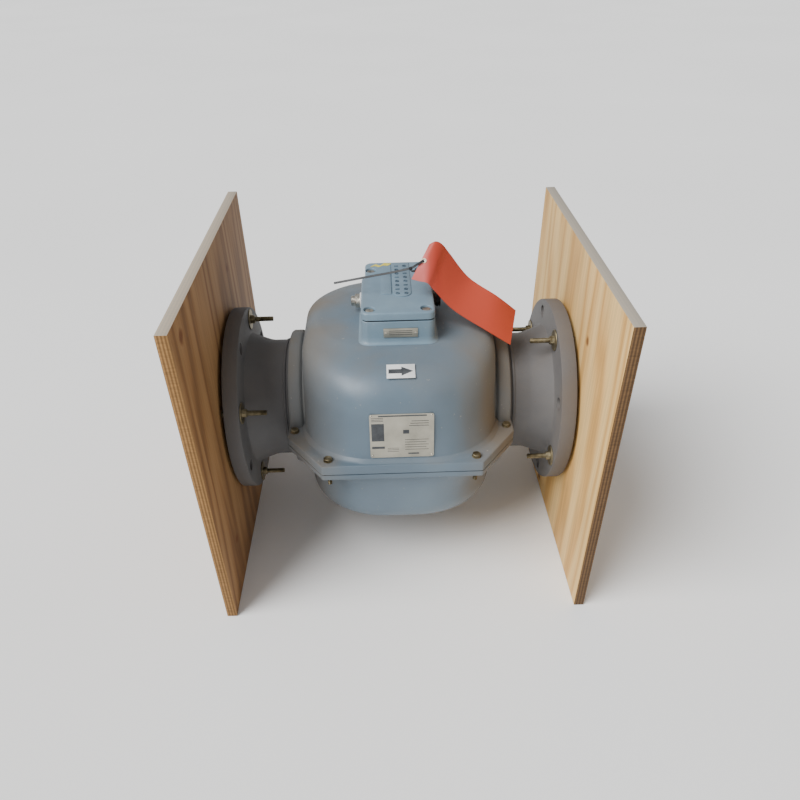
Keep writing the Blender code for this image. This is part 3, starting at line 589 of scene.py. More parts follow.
housing = {
    "halfX": 0.1715, "halfY": 0.2330, "corner": 0.142, "rimCorner": 0.112, "wall": 0.006, "cornerSteps": 16,
    "upper": {"height": 0.167, "hip": 0.073, "slope": 0.1875, "sideRound": 0.033, "flatY": 0.117},
    "lower": {"height": 0.163, "hip": 0.060, "slope": 0.225, "sideRound": 0.030, "flatY": 0.117},
    "rimFront": (0.135, 0.242), "rimSide": (0.200, 0.153), "rimThick": 0.0145, "seam": -0.003,
    "seamGap": 0.0009,
    "collarR": 0.127, "collarX": 0.198, "neckR": 0.121, "boreR": 0.1100,
    "frontBolt": (0.125, 0.224), "sideBolt": (0.188, 0.1385), "boltHoleR": 0.0045,
    "frontDraft": 0.088, "sideDraft": 0.018, "draftFrom": 0.03, "fillet": 0.0055, "cornerGrowsTo": 0.060,
}


def shellLevels(shape, inset, overlap):
    halfX = housing["halfX"] - inset
    halfY = housing["halfY"] - inset
    top = shape["height"] - inset
    hip = shape["hip"] - inset
    sideRound = shape["sideRound"] - inset
    flatY = shape["flatY"] - inset
    hipY = halfY - housing["frontDraft"] * (top - housing["draftFrom"])
    hipZ = top - shape["slope"] * (hipY - flatY)
    bend = math.atan(1 / shape["slope"])
    start = hipZ - hip * math.tan(bend / 2)
    fillet = housing["fillet"] if inset == 0 else 0.0  # cast fillet where the wall meets the rim
    rim = housing["rimThick"]
    profile = [
        (-overlap, halfY + fillet, fillet), (rim, halfY - housing["frontDraft"] * rim + fillet, fillet),
    ]
    for i in range(1, 6):
        angle = math.pi / 2 * i / 5
        z = rim + fillet * math.sin(angle) + 0.0001 * i
        flare = fillet * (1 - math.sin(angle))
        profile.append((z, halfY + (hipY - halfY) * z / start + flare, flare))
    for i in range(1, 4):
        z = 0.022 + (start - 0.022) * i / 4
        profile.append((z, halfY + (hipY - halfY) * z / start, 0))
    for i in range(13):
        angle = bend * i / 12
        profile.append((start + hip * math.sin(angle), hipY - hip * (1 - math.cos(angle)), 0))
    last = profile[-1][1]
    for share in (0.2, 0.4, 0.58, 0.74, 0.87, 0.95, 1.0):
        y = last + (flatY - last) * share
        profile.append((top - shape["slope"] * (y - flatY), y, 0))
    levels = []
    for z, y, flare in profile:
        rise = max(0.0, z - (top - sideRound))
        x = halfX + flare - housing["sideDraft"] * max(z, 0)
        x = x - sideRound + math.sqrt(max(0.0, sideRound**2 - rise**2))
        nearRim = max(0.0, 1 - max(z, 0) / housing["cornerGrowsTo"])
        corner = housing["corner"] - (housing["corner"] - housing["rimCorner"]) * nearRim
        radius = min((corner - inset) * x / halfX, y - 0.001)
        levels.append((roundedPlan(x, y, radius, housing["cornerSteps"]), z))
    return levels


def rimPlan():
    (frontX, frontY), (sideX, sideY) = housing["rimFront"], housing["rimSide"]
    corners = ((frontX, frontY), (sideX, sideY))
    return [(sx * x, sy * y) for sx in (-1, 1) for sy in (-1, 1) for x, y in corners]


def makeShell(name, shape, flip, node):
    body = grow(name, shellLevels(shape, 0, 0.02))
    rim = grow("rim", [(rimPlan(), -0.015), (rimPlan(), housing["rimThick"])])
    bevelEdges(rim, 0.0022, 3)
    cut(body, rim, "UNION")
    r, x, neck = housing["collarR"], housing["collarX"], housing["neckR"]
    outline = [
        (-x, 0.06), (-x, r - 0.0045), (-x + 0.0012, r - 0.002), (-x + 0.0045, r), (-x + 0.0195, r),
        (-x + 0.0225, r - 0.0015), (-x + 0.0255, neck), (x - 0.0255, neck), (x - 0.0225, r - 0.0015),
        (x - 0.0195, r), (x - 0.0045, r), (x - 0.0012, r - 0.002), (x, r - 0.0045), (x, 0.06),
    ]
    collar = settle(turnedPiece("collar", outline, 112), turn=(0, math.pi / 2, 0))
    cut(body, collar, "UNION")
    cut(body, grow("inside", shellLevels(shape, housing["wall"], 0.03)))
    seam = housing["seamGap"] + housing["seam"] * flip
    cut(body, block("half", (-0.4, -0.4, -0.5), (0.4, 0.4, seam)), solver="MANIFOLD")
    bore = settle(
        turnedPiece("bore", [(-0.4, housing["boreR"]), (0.4, housing["boreR"])], 112),
        turn=(0, math.pi / 2, 0),
    )
    cut(body, bore, solver="MANIFOLD")
    for spot in boltSpots():
        hole = turnedPiece("hole", [(-0.05, housing["boltHoleR"]), (0.05, housing["boltHoleR"])], 16)
        cut(body, settle(hole, (*spot, 0)), solver="MANIFOLD")
    settle(body, (0, axisY, axisZ), (0 if flip > 0 else math.pi, 0, 0))
    finishPiece(body, enamel, "meter", [node], 32)
    print(name, "made,", len(body.data.polygons), "faces")


def boltSpots():
    front, side = housing["frontBolt"], housing["sideBolt"]
    return [(sx * x, sy * y) for sy in (-1, 1) for x, y in (front, side) for sx in (-1, 1)]


makeShell("upperShell", housing["upper"], 1, "upper_housing")
makeShell("lowerShell", housing["lower"], -1, "lower_housing")


# Weld-neck flanges with a weld bead where they meet the pipe

flange = {
    "weldX": 0.2035, "faceX": 0.305, "backX": 0.2764, "raisedX": 0.3034, "raisedR": 0.135, "edgeR": 0.1715,
    "boreR": 0.1013, "pipeR": 0.1095, "hubR": 0.123, "hubEnd": 0.237, "holeR": 0.0111, "circle": 0.14925,
    "holes": 8,
}


def makeFlange(name, side, node):
    f = flange
    outline = [
        (f["weldX"], f["boreR"]), (f["weldX"], f["pipeR"] + 0.0004), (0.2042, f["pipeR"] + 0.0016),
        (0.2062, f["pipeR"] + 0.0022), (0.2082, f["pipeR"] + 0.0014), (0.2090, f["pipeR"]),
        (f["hubEnd"] - 0.004, f["pipeR"]), (f["hubEnd"] + 0.004, f["pipeR"] + 0.0014),
        (f["backX"] - 0.006, f["hubR"] - 0.0018), (f["backX"] - 0.002, f["hubR"] + 0.0005),
        (f["backX"], f["hubR"] + 0.004),
        (f["backX"], f["edgeR"] - 0.0022), (f["backX"] + 0.0006, f["edgeR"] - 0.0006),
        (f["backX"] + 0.0022, f["edgeR"]),
        (f["raisedX"] - 0.0022, f["edgeR"]), (f["raisedX"] - 0.0006, f["edgeR"] - 0.0006),
        (f["raisedX"], f["edgeR"] - 0.0022),
        (f["raisedX"], f["raisedR"] + 0.0004), (f["faceX"], f["raisedR"]), (f["faceX"], f["boreR"]),
    ]
    made = turnedPiece(name, outline, 128, closed=False)
    settle(made, turn=(0, math.pi / 2, 0))
    for number in range(f["holes"]):
        angle = 2 * math.pi * (number + 0.5) / f["holes"]
        hole = turnedPiece("hole", [(0.25, f["holeR"]), (0.33, f["holeR"])], 32)
        settle(hole, turn=(0, math.pi / 2, 0))
        settle(hole, (0, -f["circle"] * math.sin(angle), f["circle"] * math.cos(angle)))
        cut(made, hole, solver="MANIFOLD")
    settle(made, (0, axisY, axisZ), (0, 0, 0 if side > 0 else math.pi))
    finishPiece(made, primer, "meter", [node], 30)


makeFlange("outletFlange", 1, "outlet_flange")
makeFlange("inletFlange", -1, "inlet_flange")
print("flanges made")


# Plywood transport covers with their bolts

coverBolt = {
    "holeR": 0.0053, "shankR": 0.0047, "pitch": 0.0015, "tipX": 0.2324, "washerR": 0.019,
    "washerThick": 0.0018,
    "flats": 0.0143, "headThick": 0.0062, "nutThick": 0.0078, "coverOut": 0.3283, "nutAt": 0.2761,
    "inlet": (-22.5, 67.5, 157.5, 247.5), "outlet": (22.5, 112.5, 202.5, 292.5),
}


def makeCover(name, node, face, edge, body, turns):
    low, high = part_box(node)
    cover = block(name, low, high, 0.0008, 2)
    for turn in turns:
        y, z = holeSpot(turn)
        hole = settle(
            turnedPiece("hole", [(-0.5, coverBolt["holeR"]), (0.5, coverBolt["holeR"])], 24),
            turn=(0, math.pi / 2, 0),
        )
        cut(cover, settle(hole, (0, y, z)))
    finishPiece(cover, face, body, [node], 30)
    cover.data.materials.append(edge)
    for polygon in cover.data.polygons:
        polygon.material_index = 0 if abs(polygon.normal.x) > 0.7 else 1
    return cover


def holeSpot(turn):
    angle = math.radians(turn)
    return axisY - flange["circle"] * math.sin(angle), axisZ + flange["circle"] * math.cos(angle)


def threadLevels(start, end, radius, pitch, count):
    levels = []
    for i in range(int((end - start) / pitch)):
        at = start + i * pitch
        levels += [(ringPlan(radius - pitch * 0.42, count), at), (ringPlan(radius, count), at + pitch * 0.5)]
    return levels


def makeCoverBolt():
    b = coverBolt
    count = 24
    out = b["coverOut"]
    levels = [(ringPlan(b["shankR"] - 0.0012, count), b["tipX"])]
    levels += threadLevels(b["tipX"] + 0.0006, 0.283, b["shankR"], b["pitch"], count)
    levels += [
        (ringPlan(b["shankR"], count), 0.284), (ringPlan(b["shankR"], count), out),
        (ringPlan(b["washerR"] - 0.0004, count), out), (ringPlan(b["washerR"], count), out + 0.0004),
        (ringPlan(b["washerR"] - 0.0005, count), out + b["washerThick"]),
        (hexPlan(b["flats"], count), out + b["washerThick"]),
        (hexPlan(b["flats"], count), out + b["washerThick"] + b["headThick"] - 0.0009),
        (ringPlan(b["flats"] * 0.47, count), out + b["washerThick"] + b["headThick"]),
    ]
    return settle(grow("coverBolt", levels), turn=(0, math.pi / 2, 0))


def makeCoverNut():
    b = coverBolt
    count = 24
    end = b["nutAt"]
    bore = b["shankR"] + 0.0003
    levels = [
        (ringPlan(bore, count), end), (ringPlan(bore, count), end - b["washerThick"] - b["nutThick"]),
        (ringPlan(b["flats"] * 0.44, count), end - b["washerThick"] - b["nutThick"]),
        (hexPlan(b["flats"], count), end - b["washerThick"] - b["nutThick"] + 0.0012),
        (hexPlan(b["flats"], count), end - b["washerThick"]),
        (ringPlan(b["washerR"] - 0.0005, count), end - b["washerThick"]),
        (ringPlan(b["washerR"], count), end - b["washerThick"] * 0.5),
        (ringPlan(b["washerR"] - 0.0003, count), end),
    ]
    return settle(grow("coverNut", levels, closed=False), turn=(0, math.pi / 2, 0))


makeCover("outletCover", "outlet_cover", pineRight, edgeRight, "outlet_cover_set", coverBolt["outlet"])
makeCover("inletCover", "inlet_cover", pineLeft, edgeLeft, "inlet_cover_set", coverBolt["inlet"])
boltMaster, nutMaster = makeCoverBolt(), makeCoverNut()
for side, end in ((-1, "inlet"), (1, "outlet")):
    for number, turn in enumerate(coverBolt[end], 1):
        y, z = holeSpot(turn)
        facing = (0.3 * number, 0, 0 if side > 0 else math.pi)
        for master, word, body in ((boltMaster, "bolt", end + "_cover_set"), (nutMaster, "nut", "meter")):
            made = settle(copyOf(master, f"{end}Cover{word.title()}{number}"), (0, y, z), facing)
            finishPiece(made, zincPlate, body, [f"{end}_cover_{word}_{number}"], 30)
bpy.data.objects.remove(boltMaster)
bpy.data.objects.remove(nutMaster)
print("covers and bolts made")


# Housing bolts with their nuts

rimBolt = {
    "shankR": 0.0037, "flats": 0.0130, "washerR": 0.0080, "head": 0.0050, "nut": 0.0062, "tail": 0.0212,
}


def makeRimBolt():
    b = rimBolt
    count = 24
    top, bottom = housing["rimThick"] + 0.0003, -housing["rimThick"] - 0.0003
    levels = [(ringPlan(b["shankR"] - 0.0010, count), bottom - b["tail"])]
    levels += threadLevels(bottom - b["tail"] + 0.0005, bottom - b["nut"], b["shankR"], 0.00125, count)
    levels += [
        (ringPlan(b["flats"] * 0.45, count), bottom - b["nut"]),
        (hexPlan(b["flats"], count), bottom - b["nut"] + 0.0010),
        (hexPlan(b["flats"], count), bottom), (ringPlan(b["shankR"], count), bottom),
        (ringPlan(b["shankR"], count), top),
        (ringPlan(b["washerR"] - 0.0003, count), top), (ringPlan(b["washerR"], count), top + 0.0005),
        (ringPlan(b["washerR"] - 0.0003, count), top + 0.0012), (hexPlan(b["flats"], count), top + 0.0012),
        (hexPlan(b["flats"], count), top + b["head"]),
        (ringPlan(b["flats"] * 0.46, count), top + b["head"] + 0.0006),
    ]
    return grow("rimBolt", levels)


rimMaster = makeRimBolt()
for number in range(1, 9):
    low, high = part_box(f"housing_bolt_{number}")
    made = copyOf(rimMaster, f"rimBolt{number}")
    settle(made, ((low.x + high.x) / 2, (low.y + high.y) / 2, axisZ), (0, 0, 0.35 * number))
    finishPiece(made, zincPlate, "meter", [f"housing_bolt_{number}"], 30)
bpy.data.objects.remove(rimMaster)


# Terminal box, lid and lid screws

terminal = {
    "halfX": 0.0615, "halfY": 0.105, "floor": 0.1673, "rim": 0.2070, "lidLow": 0.2094, "lidTop": 0.2225,
    "rearX": 0.0560, "stepY": 0.0365, "corner": 0.012, "cornerSteps": 5, "screwSeat": 0.2168, "entryY": 0.018,
    "screws": ((-0.0470, -0.0885), (0.0470, -0.0885), (0.0450, 0.0690), (-0.0450, 0.0690)), "pocketR": 0.0096,
    "entryZ": 0.188, "entryR": 0.0106, "stripX": 0.0085, "stripHalf": 0.0162, "stripFront": -0.029,
    "stripRear": 0.099,
}


def boxPlan(inset):
    # The box's outline, inset all round: a rectangle whose two rear corners are set back, each corner
    # rounded.
    t = terminal
    wide, narrow, step = t["halfX"] - inset, t["rearX"] - inset, t["stepY"] - inset
    front, rear = inset - t["halfY"], t["halfY"] - inset
    corner, edge, inner = max(
        t["corner"] - inset, 0.001,
    ), max(0.004 - inset, 0.0006), max(0.001 + inset, 0.0006)
    half = [(wide, front, corner), (wide, step, edge), (narrow, step, inner), (narrow, rear, corner)]
    points = [*half, *((-x, y, r) for x, y, r in half[::-1])]
    outline = []
    for i, (x, y, radius) in enumerate(points):
        here = Vector((x, y))
        back = (Vector(points[i - 1][:2]) - here).normalized() * radius
        ahead = (Vector(points[(i + 1) % len(points)][:2]) - here).normalized() * radius
        for k in range(t["cornerSteps"] + 1):
            turn = math.pi / 2 * k / t["cornerSteps"]
            outline.append(tuple(here + back + ahead - ahead * math.cos(turn) - back * math.sin(turn)))
    return outline


def boxShape(name, rows):
    # Grown level by level; each row is a height and an inset. The outline keeps one order, so no sorting by
    # angle.
    plans = [(boxPlan(inset), z) for z, inset in rows]
    return growInOrder(name, plans)


def makeTerminalBox():
    t = terminal
    rows = [
        (0.1600, -0.0065), (0.1675, -0.0062), (0.1684, -0.0045), (0.1700, -0.0026), (0.1725, -0.0012),
        (0.1760, -0.0004),
        (0.1800, 0.0), (t["rim"] - 0.0008, 0.0), (t["rim"], 0.0008), (t["rim"], 0.005),
        (t["floor"] + 0.005, 0.005),
    ]
    base = boxShape("terminalBox", rows)
    for px, py in t["screws"]:
        sx = math.copysign(1, px)
        inner, outer = sorted((px - sx * 0.006, px + sx * 0.0075))
        post = block(
            "post", (inner, py - 0.006, t["floor"] + 0.002), (outer, py + 0.006, t["rim"] - 0.0002), 0.001,
        )
        cut(base, post, "UNION")
        cut(base, settle(turnedPiece("hole", [(0.185, 0.0027), (0.22, 0.0027)], 16), (px, py, 0)))
    for sx in (-1, 1):
        entry = settle(
            turnedPiece("entry", [(-0.01, t["entryR"]), (0.01, t["entryR"])], 32), turn=(0, math.pi / 2, 0),
        )
        cut(base, settle(entry, (sx * 0.06, t["entryY"], t["entryZ"])))
    cut(base, settle(turnedPiece("wireHole", [(0.155, 0.009), (0.18, 0.009)], 24), (0, 0.045, 0)))
    settle(base, (0, axisY, axisZ))
    finishPiece(base, litBoxEnamel, "meter", ["terminal_box"], 40)


def makeLid():
    t = terminal
    top = t["lidTop"]
    edge = 0.0034
    rows = [(t["lidLow"], 0.0006), (t["lidLow"] + 0.0006, 0.0)]
    for i in range(6):
        angle = math.pi / 2 * i / 5
        rows.append((top - edge + edge * math.sin(angle), edge * (1 - math.cos(angle))))
    lid = boxShape("boxLid", rows)
    cut(lid, block("lidHollow", (-0.036, -0.096, 0.2), (0.036, 0.096, 0.2178), 0.003))
    half, front, rear = t["stripHalf"], t["stripFront"], t["stripRear"]
    arc = [math.pi + math.pi * i / 20 for i in range(21)]
    outline = [(half * math.cos(a), front + half * math.sin(a)) for a in arc]
    outline += [(half, rear), (-half, rear)]
    strip = growInOrder("strip", [(outline, top - 0.002), (outline, top + 0.0015)])
    bevelEdges(strip, 0.0006, 2, 50)
    cut(lid, settle(strip, (t["stripX"], 0, 0)), "UNION")
    cut(lid, block("pad", (-0.0275, -0.034, top - 0.002), (-0.0095, 0.053, top + 0.0009), 0.0004), "UNION")
    for px, py in t["screws"]:
        pocket = turnedPiece(
            "pocket",
            [
                (t["screwSeat"] - 0.0003, t["pocketR"] - 0.0003),
                (top - 0.0010, t["pocketR"]),
                (top + 0.004, 0.0130),
            ],
            40,
        )
        cut(lid, settle(pocket, (px, py, 0)))
        cut(lid, settle(turnedPiece("hole", [(0.2, 0.0029), (0.23, 0.0029)], 20), (px, py, 0)))
    settle(lid, (0, axisY, axisZ))
    # The lid takes the lighter box enamel: painted light on its up-facing top.
    finishPiece(lid, litBoxEnamel, "box_lid", ["terminal_box_lid"], 34)


def makePaintMark():
    # A quick swipe of yellow paint marker at the lid's rear left.
    route = (
        (-0.046, 0.084), (-0.038, 0.088), (-0.030, 0.083), (-0.022, 0.090), (-0.014, 0.088), (-0.009, 0.094),
    )
    widths = (0.004, 0.008, 0.006, 0.011, 0.010, 0.005)
    z = terminal["lidTop"] + 0.00025
    edges = [(Vector((x, y, z)), Vector((x + 0.002, y + w, z))) for (x, y), w in zip(route, widths)]
    mark = ruledSheet("paintMark", edges, 2, 0.0003)
    settle(mark, (0, axisY, axisZ))
    finishPiece(mark, yellowPaint, "box_lid")


def makeLidMarks():
    # Two rows of small raised cast marks on the strip, plain rings and bars that spell nothing; their darker
    # enamel is painted shade.
    t = terminal
    parts = []
    z = t["lidTop"] + 0.0012
    for row in range(8):
        for column in (-1, 1):
            x = t["stripX"] + column * 0.0074
            y = -0.034 + row * 0.0165
            if (row + column) % 3:
                rows = [(0, 0.0038), (0.0013, 0.0034), (0.0013, 0.0019), (0, 0.0019)]
                parts.append(settle(turnedPiece("mark", rows, 20, closed=False), (x, y, z)))
            else:
                parts.append(
                    block("mark", (x - 0.0036, y - 0.0015, z), (x + 0.0036, y + 0.0015, z + 0.0013), 0.0004),
                )
    # A dark line beside the strip's left border: painted shade along its edge.
    parts.append(
        block("line", (-0.0090, -0.030, t["lidTop"] - 0.0004), (-0.0080, 0.098, t["lidTop"] + 0.0003)),
    )
    marks = joinPieces("lidMarks", parts)
    settle(marks, (0, axisY, axisZ))
    finishPiece(marks, markShadeEnamel, "box_lid")


def makeLidScrews():
    t = terminal
    count = 32
    rows = [(-0.0245, 0.0014)]
    for i in range(16):
        rows += [(-0.024 + i * 0.00125, 0.0019), (-0.0234 + i * 0.00125, 0.0024)]
    rows += [(-0.0030, 0.0024), (0, 0.0024), (0, 0.0070), (0.0004, 0.0074), (0.0030, 0.0074)]
    rows += [(0.0038, 0.0070), (0.0044, 0.0058), (0.0046, 0.0030)]
    for number, (px, py) in enumerate(t["screws"], 1):
        screw = turnedPiece(f"lidScrew{number}", rows, count)
        cut(screw, block("slot", (-0.010, -0.0008, 0.0028), (0.010, 0.0008, 0.01)))
        place = (px, py + axisY, t["screwSeat"] + axisZ)
        settle(screw, place, (0, 0, 0.6 + number))
        finishPiece(screw, bareSteel, f"screw_{number}", [f"lid_screw_{number}"], 30)


makeTerminalBox()
makeLid()
makeLidMarks()
makeLidScrews()
print("terminal box made")


# Blanking plug with its white sealing ring, and the cable entry cap, dark brown as painted shadow and
# reflection of the tag

entries = {"ringOut": 0.0035, "plugFlats": 0.0220, "capFlats": 0.0260}


def makeEntries():
    t = terminal
    face = t["halfX"] + 0.0003
    count = 48
    left = (0, axisY + t["entryY"], axisZ + t["entryZ"])
    ring = grow("plugRing", [
        (ringPlan(0.0106, count), face), (ringPlan(0.0136, count), face),
        (ringPlan(0.0142, count), face + 0.0006),
        (ringPlan(0.0145, count), face + 0.0028), (ringPlan(0.0138, count), face + entries["ringOut"]),
        (ringPlan(0.0106, count), face + entries["ringOut"]),
    ], closed=False)
    settle(settle(ring, turn=(0, -math.pi / 2, 0)), left)
    finishPiece(ring, whiteFilm, "plug_ring", ["plug_seal"], 40)
    start = face + 0.0038
    levels = [(ringPlan(0.0088, count), 0.0535)]
    levels += threadLevels(0.0540, face + 0.0034, 0.0102, 0.0015, count)
    levels += [
        (ringPlan(0.0102, count), start), (ringPlan(0.0116, count), start),
        (hexPlan(entries["plugFlats"], count), start + 0.0010),
        (hexPlan(entries["plugFlats"], count), 0.0735), (ringPlan(0.0104, count), 0.0745),
        (ringPlan(0.0088, count), 0.0747),
        (ringPlan(0.0086, count), 0.0808), (ringPlan(0.0078, count), 0.0815),
        (ringPlan(0.0050, count), 0.0813),
        (ringPlan(0.0046, count), 0.0775),
    ]
    plug = settle(settle(grow("blankingPlug", levels), turn=(0, -math.pi / 2, 0)), left)
    finishPiece(plug, bareSteel, "plug", ["blanking_plug"], 30)
    levels = [
        (ringPlan(0.0100, count), 0.0575), (ringPlan(0.0102, count), face), (ringPlan(0.0122, count), face),
        (hexPlan(entries["capFlats"], count), face + 0.0012), (hexPlan(entries["capFlats"], count), 0.0680),
        (ringPlan(0.0122, count), 0.0690), (ringPlan(0.0118, count), 0.0692),
        (ringPlan(0.0118, count), 0.0768),
        (ringPlan(0.0136, count), 0.0770), (ringPlan(0.0141, count), 0.0774),
        (ringPlan(0.0138, count), 0.0783),
        (ringPlan(0.0090, count), 0.0785), (ringPlan(0.0085, count), 0.0770),
    ]
    cap = settle(settle(grow("cableCap", levels), turn=(0, math.pi / 2, 0)), left)
    # The cap's dark brown is painted shadow and reflection of the tag.
    finishPiece(cap, capShadeBrown, "meter", ["cable_entry_cap"], 30)


makeEntries()


# Nameplate, small plate and arrow label

plates = {
    "nameTilt": 8.0, "nameAt": (0, -0.2252, 0.0628), "nameHalf": (0.0525, 0.0400),
    "labelTilt": 20.8, "labelAt": (0.0010, -0.1770, 0.1560), "labelHalf": (0.0230, 0.0140),
}


def inkBar(x0, z0, x1, z1, depth=-0.00058):
    return block("ink", (x0, depth - 0.00004, z0), (x1, depth + 0.0002, z1))


def makeNameplate():
    halfX, halfZ = plates["nameHalf"]
    plate = block("nameplate", (-halfX, -0.0005, -halfZ), (halfX, 0.0003, halfZ))
    at = Vector(plates["nameAt"]) + Vector((0, axisY, axisZ))
    tilt = (-math.radians(plates["nameTilt"]), 0, 0)
    clearSelection()
    bpy.context.view_layer.objects.active = plate
    plate.select_set(True)
    bpy.ops.object.mode_set(mode="EDIT")
    mesh = bmesh.from_edit_mesh(plate.data)
    for edge in mesh.edges:
        edge.select = abs(edge.verts[0].co.y - edge.verts[1].co.y) > 0.0005
    bpy.ops.mesh.bevel(offset=0.0035, segments=5, affect="EDGES")
    bpy.ops.object.mode_set(mode="OBJECT")
    settle(plate, at, tilt)
    finishPiece(plate, plateMetal, "meter", ["nameplate"])
    bars = [
        inkBar(-0.038, 0.0355, 0.041, 0.0378),
        inkBar(-0.0497, -0.0090, -0.0290, 0.0230),
        inkBar(-0.0497, -0.0232, -0.0285, -0.0190),
    ]
    bars += [inkBar(0.0020, 0.0040, 0.0120, 0.0110)]  # one plain block, no symbol
    bars += [inkBar(0.0100, -0.0345, 0.0280, -0.0320)]
    ink = joinPieces("nameplatePrint", bars)
    settle(ink, at, tilt)
    finishPiece(ink, printInk, "meter")
    thin = []
    for row in range(3):
        thin.append(inkBar(-0.0495, 0.0270 + row * 0.0028, -0.0300, 0.0279 + row * 0.0028))
        thin.append(inkBar(0.0120 + row * 0.002, 0.0180 + row * 0.0042, 0.0440, 0.0190 + row * 0.0042))
        thin.append(inkBar(-0.0240, -0.0290 + row * 0.0030, -0.0050, -0.0283 + row * 0.0030))
    for row in range(5):
        thin.append(
            inkBar(0.0050, -0.0260 + row * 0.0046, 0.0440 - 0.004 * (row % 2), -0.0252 + row * 0.0046),
        )
    lines = joinPieces("nameplateLines", thin)
    settle(lines, at, tilt)
    finishPiece(lines, cableJacket, "meter")
    rivets = []
    for sx in (-1, 1):
        for sz in (-1, 1):
            rivet = turnedPiece(
                "rivet", [(0, 0.0019), (0.0005, 0.0018), (0.0010, 0.0012), (0.0012, 0.0005)], 16,
            )
            settle(rivet, turn=(math.pi / 2, 0, 0))
            rivets.append(settle(rivet, (sx * (halfX - 0.0035), -0.0005, sz * (halfZ - 0.0035))))
    heads = joinPieces("nameplateRivets", rivets)
    settle(heads, at, tilt)
    finishPiece(heads, bareSteel, "meter")


def makeBoxPlate():
    low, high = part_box("box_plate")
    plate = block("boxPlate", low, high, 0.0003)
    finishPiece(plate, plateMetal, "meter", ["box_plate"])
    middle = (low.z + high.z) / 2
    parts = []
    for x in (low.x + 0.0035, high.x - 0.0035):
        rivet = turnedPiece("rivet", [(0, 0.0021), (0.0005, 0.0020), (0.0009, 0.0013), (0.0011, 0.0005)], 16)
        settle(rivet, turn=(math.pi / 2, 0, 0))
        parts.append(settle(rivet, (x, low.y, middle)))
    finishPiece(joinPieces("boxPlateRivets", parts), bareSteel, "meter")
    lines = []
    for dz in (-0.0035, 0.0, 0.0032):
        start = (low.x + 0.009, low.y - 0.00006, middle + dz)
        end = (high.x - 0.009, low.y + 0.0002, middle + dz + 0.0011)
        lines.append(block("ink", start, end))
    finishPiece(joinPieces("boxPlateLines", lines), cableJacket, "meter")


def makeArrowLabel():
    halfX, halfY = plates["labelHalf"]
    at = Vector(plates["labelAt"]) + Vector((0, axisY, axisZ))
    tilt = (math.radians(plates["labelTilt"]), 0, 0)
    label = block("arrowLabel", (-halfX, -halfY, 0), (halfX, halfY, 0.0004), 0.0001)
    settle(label, at, tilt)
    finishPiece(label, whiteFilm, "meter", ["arrow_label"])
    half, barb, neck = 0.0044, 0.0092, 0.0010
    shaft = [
        (-0.0200, -half),
        (neck, -half),
        (neck, -barb),
        (0.0200, 0.0),
        (neck, barb),
        (neck, half),
        (-0.0200, half),
    ]
    clearSelection()
    bpy.ops.mesh.primitive_circle_add(vertices=len(shaft), radius=1, fill_type="NGON")
    arrow = bpy.context.object
    arrow.name = "flowArrow"
    for vertex, (x, y) in zip(arrow.data.vertices, shaft):
        vertex.co = (x, y, 0.00036)
    bpy.ops.object.mode_set(mode="EDIT")
    bpy.ops.mesh.select_all(action="SELECT")
    bpy.ops.mesh.extrude_region_move(TRANSFORM_OT_translate={"value": (0, 0, 0.0001)})
    bpy.ops.mesh.select_all(action="SELECT")
    bpy.ops.mesh.normals_make_consistent(inside=False)
    bpy.ops.object.mode_set(mode="OBJECT")
    settle(arrow, at, tilt)
    finishPiece(arrow, printInk, "meter")


makeNameplate()
makeBoxPlate()
makeArrowLabel()
print("plates made")


# The folded red tag, its eyelet and the cable tie

tagShape = {
    "low": ((0.024, -0.050, 0.256), (0.0375, -0.050, 0.252), (0.051, -0.050, 0.248), (0.063, -0.050, 0.234),
            (0.096, -0.060, 0.202), (0.155, -0.076, 0.168), (0.194, -0.078, 0.143)),
    "high": ((0.056, -0.008, 0.298), (0.0665, -0.008, 0.303), (0.078, -0.0065, 0.297), (0.092, -0.002, 0.278),
             (0.126, -0.005, 0.236), (0.174, -0.021, 0.208), (0.210, -0.018, 0.178)),
    "thick": 0.0006, "steps": 9, "cells": 16, "eyeletShare": 0.52, "eyeletAlong": 0.45,
}


def smoothRoute(route, count):
    points = [Vector(p) for p in route]
    made = []
    for i in range(len(points) - 1):
        before, start, end = points[max(i - 1, 0)], points[i], points[i + 1]
        after = points[min(i + 2, len(points) - 1)]
        for k in range(count):
            t = k / count
            bend = (2 * before - 5 * start + 4 * end - after) * t**2
            twist = (3 * start - before - 3 * end + after) * t**3
            made.append(0.5 * (2 * start + (end - before) * t + bend + twist))
    return [*made, points[-1]]


def ruledSheet(name, edges, cells, thickness):
    # A plane primitive is subdivided into a grid, and each grid point is moved onto the ruled surface.
    clearSelection()
    bpy.ops.mesh.primitive_grid_add(x_subdivisions=len(edges) - 1, y_subdivisions=cells, size=2)
    sheet = bpy.context.object
    sheet.name = name
    for vertex in sheet.data.vertices:
        i = round((vertex.co.x + 1) / 2 * (len(edges) - 1))
        low, high = edges[i]
        vertex.co = low.lerp(high, (vertex.co.y + 1) / 2)
    step = sheet.modifiers.new("thickness", "SOLIDIFY")
    step.thickness = thickness
    step.offset = 0
    bpy.ops.object.modifier_apply(modifier=step.name)
    return sheet


